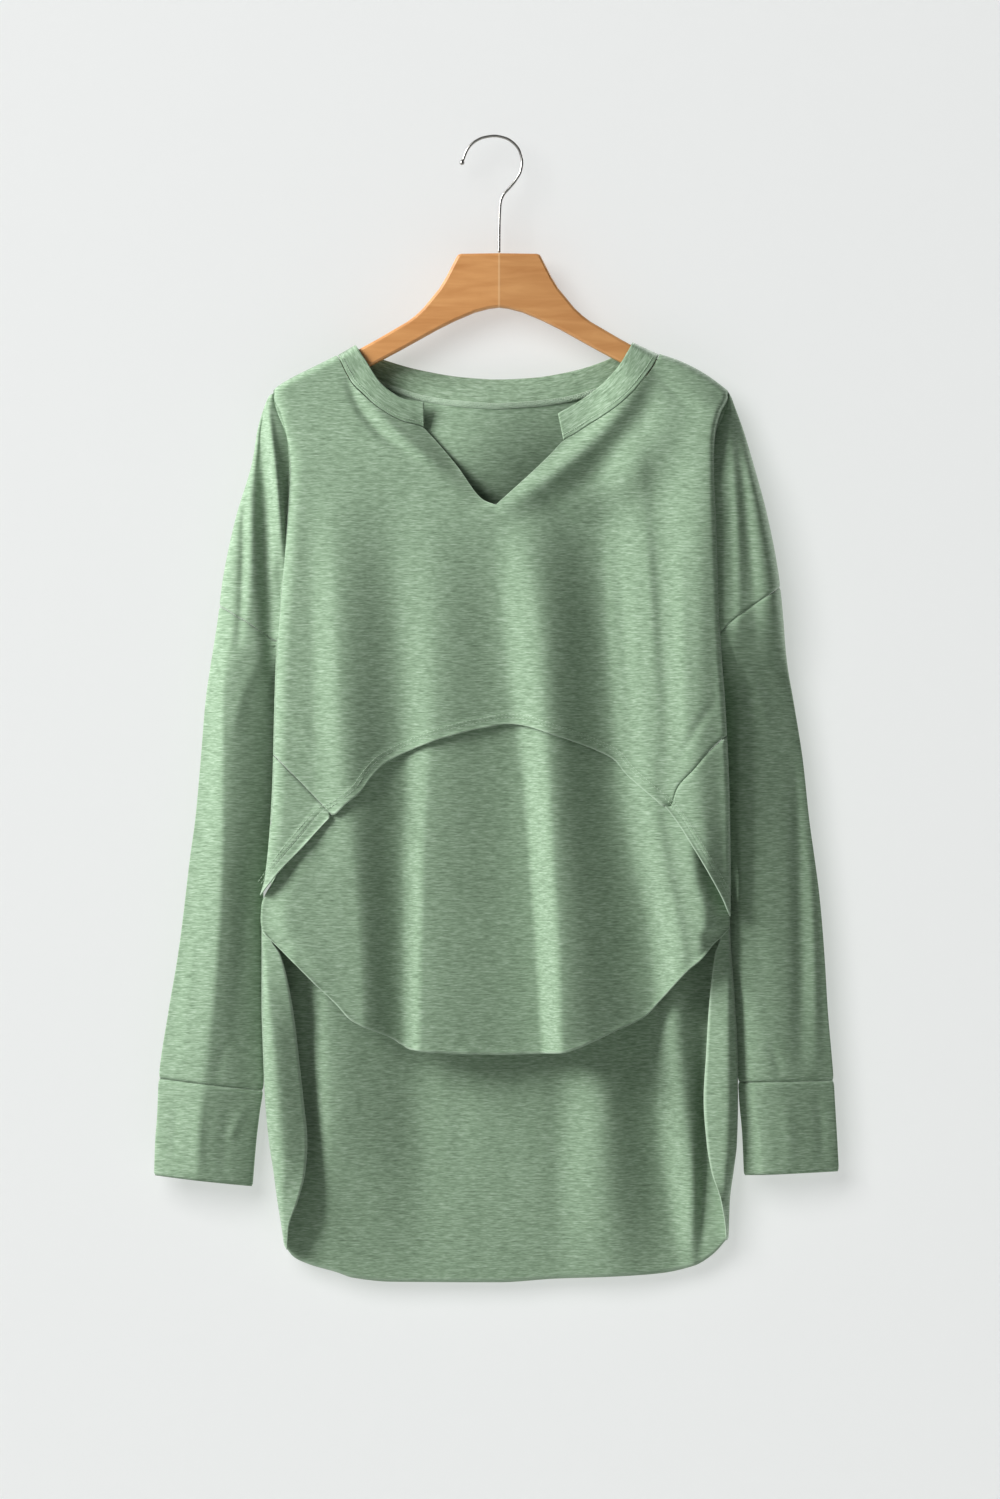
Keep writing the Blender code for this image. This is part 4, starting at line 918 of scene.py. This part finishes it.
def back_panel(cloths):
    """Back: two halves of back_place from the centre to the turned side, with a cap on each."""
    grids = []
    for side in (LEFT, RIGHT):
        columns = np.concatenate([finer(BACK_COLUMNS[side], 0.022), finer((1.0, 1.14, 1.3, 1.46, 1.62, 1.8, 2.0), 0.05)[1:]])
        points, y, a = torso_half(side, columns, back_place, BACK_NECK[side], TAIL_HEM, 1250, 130)
        off = y[:, -1:] - y
        points[..., 1] -= 0.0006 * bell(off / 2.5) * (a < 1)
        # painted highlight along the free edges of the tail's turned sides
        flap_highlight = cut_edge_highlight((2 - a) * 60) * smooth((y - 900) / 40)
        grids += [(points, cloth_uv(points, 0, side), np.maximum(cut_edge_highlight(off), flap_highlight)), cap(side, 1)]
    return sewn_cloth("back_panel_cloth", grids, cloths)


def lower_panel(cloths):
    """Lower panel: lapped_place from just above the arched hem to its own rounded hem."""
    grids = []
    for side in (LEFT, RIGHT):
        a = np.linspace(0, 1, 90)
        top = meet(lambda y: curve(lapped_place(side, a, y)[0], ARCH["x"], ARCH["y"]) - 14, np.full(90, 850.0))
        bottom = meet(lambda y: curve(lapped_place(side, a, y)[0], LOWER_HEM["x"], LOWER_HEM["y"]), np.full(90, 1000.0))
        y = top[:, None] + (bottom - top)[:, None] * np.linspace(0, 1, 110)
        points = in_metres(*lapped_place(side, a[:, None], y))
        off, x = y[:, -1:] - y, points[..., 0] / UNIT
        points[..., 1] -= 0.001 * (0.9 + 0.5 * np.sin(x * 0.16) + 0.3 * np.sin(x * 0.37)) * bell(off / 3.0)
        grids.append((points, cloth_uv(points, 0, side), cut_edge_highlight(off)))
    return sewn_cloth("lower_panel_cloth", grids, cloths)


def side_piece(side, cloths):
    """Side piece: front_place below the diagonal seam, from its blunt front end into the tuck."""
    first = {LEFT: 0.739, RIGHT: 0.715}[side]
    columns = finer((first, *[a for a in FRONT_COLUMNS[side] if a > first + 0.01], 1.1, 1.3), 0.008)
    find = lambda rows, start: meet(lambda y: curve(front_place(side, columns, y)[0], rows["x"], rows["y"]), np.full(len(columns), start))
    top, bottom = find(SIDE_TOP[side], 780.0) + 0.2, find(ARCH, 850.0)
    y = top[:, None] + (bottom - top)[:, None] * np.linspace(0, 1, 60)
    points = in_metres(*front_place(side, columns[:, None], y))
    x = points[..., 0] / UNIT + CROWN[0]
    off = above_arch(x, y)
    points[..., 1] -= 0.001 * (hem_relief(off, x) * (columns[:, None] < 1) - 1.1 * bell((y - y[:, :1]) / 1.8))
    return sewn_cloth(f"side_piece_{SIDES[side]}_cloth", [(points, cloth_uv(points, 0.14, side), cut_edge_highlight(off))], cloths)


def tube(name, side, top, bottom, rows, cloths, thickness=SHELL):
    """Sleeve or cuff: front and back of limb_place between two lines, joined along both sides."""
    c = CAP[:, None]
    grids = []
    for face in (-1, 1):
        y = top(c) + (bottom(c) - top(c)) * np.linspace(0, 1, rows)
        points = in_metres(*limb_place(side, face, c, y))
        seams = bell((y - y[:, :1]) / 1.6) + bell((y[:, -1:] - y) / 1.6)
        points = lifted(points, -0.9 * seams, face, side)
        grids.append((points, cloth_uv(points, 0.1 * (face + 1), side)))
    return sewn_cloth(name, grids, cloths, thickness)


def sleeve(side, cloths):
    outer, inner = CUFF_TOP[side]
    return tube(
        f"sleeve_{SIDES[side]}_cloth", side, lambda c: drop_line(side, c) + 2 * SEAM,
        lambda c: inner + (outer - inner) * c, 190, cloths,
    )


def cuff(side, cloths):
    outer, inner = CUFF_TOP[side]
    low_outer, low_inner = CUFF_END[side]
    return tube(
        f"cuff_{SIDES[side]}_cloth", side, lambda c: inner + (outer - inner) * c + 2 * SEAM,
        lambda c: low_inner + (low_outer - low_inner) * c, 44, cloths, 0.0014,
    )


def band_lines():
    """Seam line and free line of the neckband, from the left front round the back to the right front."""
    seams, frees = [], []
    for side in (LEFT, RIGHT):
        knots = FRONT_COLUMNS[side][4:4 + len(BAND_FRONT[side])]
        a = finer(knots, 0.006)
        y = top_of(front_place, NECK[side], side, a)
        x, _, depth = front_place(side, a, y)
        free = np.array(BAND_FRONT[side], float)
        front = (np.stack([x - side * 0.6, y - 2 * SEAM, depth], -1), np.stack([curve(a, knots, free[:, n]) for n in range(3)], -1))
        a = finer(BACK_COLUMNS[side][:11], 0.01)
        y = top_of(back_place, BACK_NECK[side], side, a)
        x, _, depth = back_place(side, a, y)
        depth = depth * smooth((0.71 - a) / 0.03) ** 0.5
        seam = np.stack([x - side * 0.6 * smooth(a / 0.3), y - (2 + smooth((a - 0.55) / 0.1)) * SEAM, depth], -1)
        back = (seam, np.stack([curve(x, BAND_BACK["seam"], BAND_BACK[n]) for n in ("x", "y", "d")], -1))
        parts = [front, tuple(line[::-1] for line in back)]
        if side == RIGHT:
            parts = [tuple(line[::-1] for line in part) for part in parts[::-1]]
        seams += [part[0] for part in parts]
        frees += [part[1] for part in parts]
    return np.concatenate(seams), np.concatenate(frees)


def neckband(cloths):
    """Neckband: straight between its seam line and its free line."""
    seam, free = band_lines()
    keep = np.concatenate([[True], np.linalg.norm(np.diff(seam, axis=0), axis=1) > 0.2])
    seam, free = seam[keep], free[keep]
    t = np.linspace(0, 1, 20)[None, :, None]
    grid = seam[:, None] + (free - seam)[:, None] * t
    points = in_metres(grid[..., 0], grid[..., 1], grid[..., 2])
    step = np.concatenate([[0], np.cumsum(np.linalg.norm(np.diff(points[:, 10], axis=0), axis=1))])
    uv = np.stack(np.broadcast_arrays(step[:, None], t[..., 0] * 0.017), -1)
    return sewn_cloth("neckband_cloth", [(points, uv)], cloths)


def stitches(name, rows, pitch, length, thick, thread):
    """Rows of stitches: one small closed spindle, radius thick * sin(t)^0.6 along it, set along each row's line."""
    t, turn = np.array([0.2, 0.5, 0.8]) * math.pi, np.arange(6) * math.pi / 3
    rings = np.stack(np.broadcast_arrays(
        -0.5 * length * np.cos(t)[:, None], thick * (np.sin(t) ** 0.6)[:, None] * np.cos(turn), thick * (np.sin(t) ** 0.6)[:, None] * np.sin(turn)
    ), -1).reshape(-1, 3)
    shape = np.concatenate([rings, [(-0.5 * length, 0, 0), (0.5 * length, 0, 0)]])
    k = np.arange(6)
    n = (k + 1) % 6
    faces = [np.stack([np.full(6, 18), n, k], -1), np.stack([np.full(6, 19), 12 + k, 12 + n], -1)]
    for first in (0, 6):
        faces += [np.stack([first + k, first + n, first + 6 + n], -1), np.stack([first + k, first + 6 + n, first + 6 + k], -1)]
    faces = np.concatenate(faces)
    points, corners, count = [], [], 0
    for row in rows:
        far = np.concatenate([[0], np.cumsum(np.linalg.norm(np.diff(row, axis=0), axis=1))])
        at = np.arange(pitch / 2, far[-1], pitch)
        spot = lambda where: np.stack([np.interp(where, far, row[:, axis]) for axis in range(3)], -1)
        along = spot(at + length / 2) - spot(at - length / 2)
        along = along / np.linalg.norm(along, axis=1, keepdims=True)
        side = np.cross(along, (0, 1, 0))
        side = side / np.linalg.norm(side, axis=1, keepdims=True)
        up = np.cross(side, along)
        placed = spot(at)[:, None] + shape[:, :1] * along[:, None] + shape[:, 1:2] * side[:, None] + shape[:, 2:] * up[:, None]
        points.append(placed.reshape(-1, 3))
        corners.append((faces[None] + (count + np.arange(len(at)) * len(shape))[:, None, None]).reshape(-1, 3))
        count += len(at) * len(shape)
    points = np.concatenate(points)
    return mesh_piece(name, points, np.concatenate(corners), points[:, [0, 2]].copy(), thread)


def hem_stitches(thread):
    """Two needle lines above the arched hem, on the bodice and the side pieces."""
    x = np.linspace(266, 724, 500)
    edge = curve(x, ARCH["x"], ARCH["y"])
    slope = np.gradient(edge, x)
    rows = []
    for share in (0.6, 0.9):
        off = share * hem_width(x)
        px, py = x + off * slope / np.sqrt(1 + slope**2), edge - off / np.sqrt(1 + slope**2)
        depth = np.zeros(len(px))
        for side in (LEFT, RIGHT):
            here = (px - CENTRE) * side >= 0
            a = (px - CENTRE) / (read(EDGE[side], "edge", py) - CENTRE)
            depth[here] = front_place(side, np.clip(a, 0, 1), py)[2][here]
        depth = depth - hem_relief(above_arch(px, py), px) - 0.62
        rows.append(in_metres(px, py, depth))
    return stitches("hem_stitches", rows, 0.0032, 0.0024, 0.00024, thread)


def back_seam():
    """Middle line of the overlocked seam inside the back neck, from left to right, in sheet places and mm."""
    seam, free = band_lines()
    inside = (free[:, 2] > 3) & (np.abs(seam[:, 0] - CENTRE) < 128)
    line = seam[inside] + (free - seam)[inside] * 0.02
    return line[np.concatenate([[True], np.diff(line[:, 0]) > 0.2])]


def seam_roll(cloth):
    """Seam allowances turned together: a flat oval, 5.2 by 1.8 mm, carried along the back seam's line."""
    line = back_seam()
    centre = in_metres(line[:, 0], line[:, 1] - 0.4, line[:, 2] - 1.5)
    ends = np.minimum(np.arange(len(line)), np.arange(len(line))[::-1])
    shrink = np.sqrt(np.clip(ends / 3, 0.01, 1))[:, None]
    turn = np.linspace(0, 2 * math.pi, 17)[:-1]
    wave = 1 + 0.08 * np.sin(np.arange(len(line)) * 1.3)[:, None]
    ring = np.stack(np.broadcast_arrays(
        centre[:, None, 0], centre[:, None, 1] + 0.0009 * shrink * wave * np.sin(turn), centre[:, None, 2] + 0.0026 * shrink * np.cos(turn)
    ), -1)
    count, around = ring.shape[:2]
    i, j = np.meshgrid(np.arange(count - 1), np.arange(around), indexing="ij")
    k, n = i * around + j, i * around + (j + 1) % around
    faces = np.stack([k, n, n + around, k + around], -1).reshape(-1, 4)
    return closed_piece("back_neck_seam", ring.reshape(-1, 3), faces, ring.reshape(-1, 3)[:, [0, 2]] + 0.0, cloth, around)


def neck_stitches(thread):
    """Topstitching on the neckband beside its seam, and a second row nearer the edge inside the back."""
    seam, free = band_lines()
    keep = np.concatenate([[True], np.linalg.norm(np.diff(seam, axis=0), axis=1) > 0.2])
    seam, free = seam[keep], free[keep]
    line = seam + (free - seam) * 0.16
    front = free[:, 2] < 3
    rows = []
    for part in (line[front & (line[:, 0] < CENTRE)], line[front & (line[:, 0] > CENTRE)]):
        rows.append(in_metres(part[:, 0], part[:, 1], part[:, 2] - 0.75))
    line = back_seam()
    far = np.linspace(line[0, 0], line[-1, 0], 2 * len(line) + 260)
    y, depth = np.interp(far, line[:, 0], line[:, 1]), np.interp(far, line[:, 0], line[:, 2])
    zigzag = 1.9 * (2 * np.abs((far / 2.6) % 1 * 2 - 1) - 1)
    rows.append(in_metres(far, y - 0.4 + zigzag, depth - 2.45))
    rows.append(in_metres(far, y - 2.9 + 0 * far, depth - 2.2))
    return stitches("neck_stitches", rows, 0.0022, 0.0022, 0.00026, thread)


def closed_piece(name, points, faces, uv, material, around):
    """A tube's mesh with both of its ends filled and its faces turned outward."""
    piece = mesh_piece(name, points, faces, uv, material)
    bm = bmesh.new()
    bm.from_mesh(piece.data)
    bmesh.ops.holes_fill(bm, edges=[edge for edge in bm.edges if edge.is_boundary], sides=around)
    bmesh.ops.recalc_face_normals(bm, faces=bm.faces)
    bm.to_mesh(piece.data)
    bm.free()
    return piece


def wire_hook(steel):
    """Hook: circles of a radius carried along the smooth line through the bends, drawn in at both ends to close."""
    line = np.array(HOOK, float)
    length = np.concatenate([[0], np.cumsum(np.hypot(*np.diff(line[:, :2], axis=0).T))])
    at = np.linspace(0, length[-1], 260)
    centre = in_metres(curve(at, length, line[:, 0]), curve(at, length, line[:, 1]), 0.0 * at)
    thick = curve(at, length, line[:, 2]) * HOOK_RADIUS
    near = np.minimum(at, length[-1] - at)
    thick = thick * np.sqrt(np.clip(1 - (1 - near / 1.2) ** 2, 0.02, 1) ** (near < 1.2))
    ahead = np.gradient(centre, axis=0)
    ahead = ahead / np.linalg.norm(ahead, axis=1, keepdims=True)
    out = np.cross(ahead, (0, 1, 0))
    turn = np.linspace(0, 2 * math.pi, 20, endpoint=False)
    ring = centre[:, None] + thick[:, None, None] * (
        np.cos(turn)[None, :, None] * out[:, None] + np.sin(turn)[None, :, None] * np.array([0, 1.0, 0])
    )
    count, around = ring.shape[:2]
    i, j = np.meshgrid(np.arange(count - 1), np.arange(around), indexing="ij")
    k, n = i * around + j, i * around + (j + 1) % around
    faces = np.stack([k, n, n + around, k + around], -1).reshape(-1, 4)
    return closed_piece("wire_hook", ring.reshape(-1, 3), faces, np.zeros((count * around, 2)), steel, around)


# ---------------------------------------------------------------- stage, light and camera

def plain_plane(name, corners, colour, roughness=0.9, glow=0.0):
    mesh = bpy.data.meshes.new(name)
    mesh.from_pydata(corners, [], [(0, 1, 2, 3)])
    made = bpy.data.materials.new(name)
    made.use_nodes = True
    tree = made.node_tree
    shader = tree.nodes["Principled BSDF"]
    shader.inputs["Base Color"].default_value = (*colour, 1)
    shader.inputs["Roughness"].default_value = roughness
    shader.inputs["Specular IOR Level"].default_value = 0.1
    shader.inputs["Emission Color"].default_value = (0.99, 1.0, 0.995, 1)
    shader.inputs["Emission Strength"].default_value = glow
    clear, mix = tree.nodes.new("ShaderNodeBsdfTransparent"), tree.nodes.new("ShaderNodeMixShader")
    facing, path = tree.nodes.new("ShaderNodeNewGeometry"), tree.nodes.new("ShaderNodeLightPath")
    either = value_node(tree, "ShaderNodeMath", operation="MAXIMUM")
    tree.links.new(facing.outputs["Backfacing"], either.inputs[0])
    tree.links.new(path.outputs["Is Shadow Ray"], either.inputs[1])
    tree.links.new(either.outputs[0], mix.inputs["Fac"])
    tree.links.new(shader.outputs[0], mix.inputs[1])
    tree.links.new(clear.outputs[0], mix.inputs[2])
    tree.links.new(mix.outputs[0], tree.nodes["Material Output"].inputs["Surface"])
    mesh.materials.append(made)
    plane = bpy.data.objects.new(name, mesh)
    bpy.context.scene.collection.objects.link(plane)
    return plane


def area_light(name, place, aim, size, power, colour=(1, 1, 1)):
    data = bpy.data.lights.new(name, "AREA")
    data.shape = "RECTANGLE"
    data.size, data.size_y = size
    data.energy = power
    data.color = colour
    light = bpy.data.objects.new(name, data)
    bpy.context.scene.collection.objects.link(light)
    light.location = place
    direction = mathutils.Vector(aim) - mathutils.Vector(place)
    light.rotation_euler = direction.to_track_quat("-Z", "Y").to_euler()
    return light


def studio():
    wall = 0.034
    backdrop = plain_plane("backdrop", [(-4, wall, -1.5), (4, wall, -1.5), (4, wall, 3), (-4, wall, 3)], (0.50, 0.51, 0.505), glow=0.43)
    floor = plain_plane("floor", [(-4, -6, -1.5), (4, -6, -1.5), (4, 3, -1.5), (-4, 3, -1.5)], (0.80, 0.81, 0.80))
    stage = bpy.data.collections.new("stage")
    for plane in (backdrop, floor):
        stage.objects.link(plane)
    key = area_light("key_light", (-2.30, -1.05, 0.8), (0, 0, -0.45), (1.5, 1.5), 164)
    others = bpy.data.collections.new("not_the_stage")
    for plane in (backdrop, floor):
        others.objects.link(plane)
    for lit in others.collection_objects:
        lit.light_linking.link_state = "EXCLUDE"
    key.light_linking.receiver_collection = others
    wash = area_light("wall_light", (-2.0, -4.5, 1.6), (0, 0, -0.5), (3.0, 3.0), 178)
    wash.light_linking.receiver_collection = stage
    area_light("back_light", (2.7, 1.9, 0.9), (0, 0, -0.5), (1.2, 1.2), 58)
    world = bpy.data.worlds.new("studio_air")
    world.use_nodes = True
    sky = world.node_tree.nodes["Background"]
    sky.inputs["Color"].default_value = (0.96, 0.98, 1.0, 1)
    sky.inputs["Strength"].default_value = 0.09
    bpy.context.scene.world = world
    bpy.context.scene.view_settings.view_transform = "Standard"


def camera():
    distance = 6.0
    data = bpy.data.cameras.new("camera")
    data.sensor_width = 36
    data.lens = 36 * distance / (1499 * UNIT)
    made = bpy.data.objects.new("camera", data)
    bpy.context.scene.collection.objects.link(made)
    made.location = ((500 - CROWN[0]) * UNIT, -distance - 0.015, (CROWN[1] - 749.5) * UNIT)
    made.rotation_euler = (math.radians(90), 0, 0)
    bpy.context.scene.camera = made


def declare(piece, node, with_pieces=()):
    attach(piece, "root")
    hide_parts(node)
    list(with_pieces)


def dress():
    group = heather_group()
    face = jersey("heather_jersey", (0.105, 0.165, 0.098), (0.225, 0.325, 0.215), (0.40, 0.52, 0.39), group)
    # paler copy of the jersey for the seam roll inside the back neck: painted highlight, lighter than the same cloth
    # elsewhere
    overlocked = jersey("overlocked_seam_painted_highlight", (0.20, 0.30, 0.19), (0.38, 0.50, 0.37), (0.56, 0.68, 0.54), group)
    thread = sewing_thread()
    sewn = [hem_stitches(thread), neck_stitches(thread), seam_roll(overlocked)]
    for rows in sewn:
        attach(rows, "root")
    declare(front_bodice([face]), "front_bodice", sewn[:1])
    declare(back_panel([face]), "back_panel")
    declare(lower_panel([face]), "front_lower_panel")
    declare(neckband([face]), "neckband", sewn[1:])
    for side, area, flat in ((LEFT, 0.0041, (0.055, 0.10)), (RIGHT, 0.0061, (0.06, 0.125))):
        declare(side_piece(side, [face]), f"side_piece_{SIDES[side]}")
    for side, area in ((LEFT, 0.0615), (RIGHT, 0.0643)):
        declare(sleeve(side, [face]), f"sleeve_{SIDES[side]}")
    for side, area, flat in ((LEFT, 0.0153, (0.19, 0.086)), (RIGHT, 0.0137, (0.175, 0.082))):
        declare(cuff(side, [face]), f"cuff_{SIDES[side]}")
    wood, steel = oiled_wood(), nickel()
    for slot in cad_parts["hanger_yoke"].material_slots:
        slot.material = wood
    hook = wire_hook(steel)
    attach(hook, "root")
    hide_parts("hanger_hook")


dress()
studio()
camera()
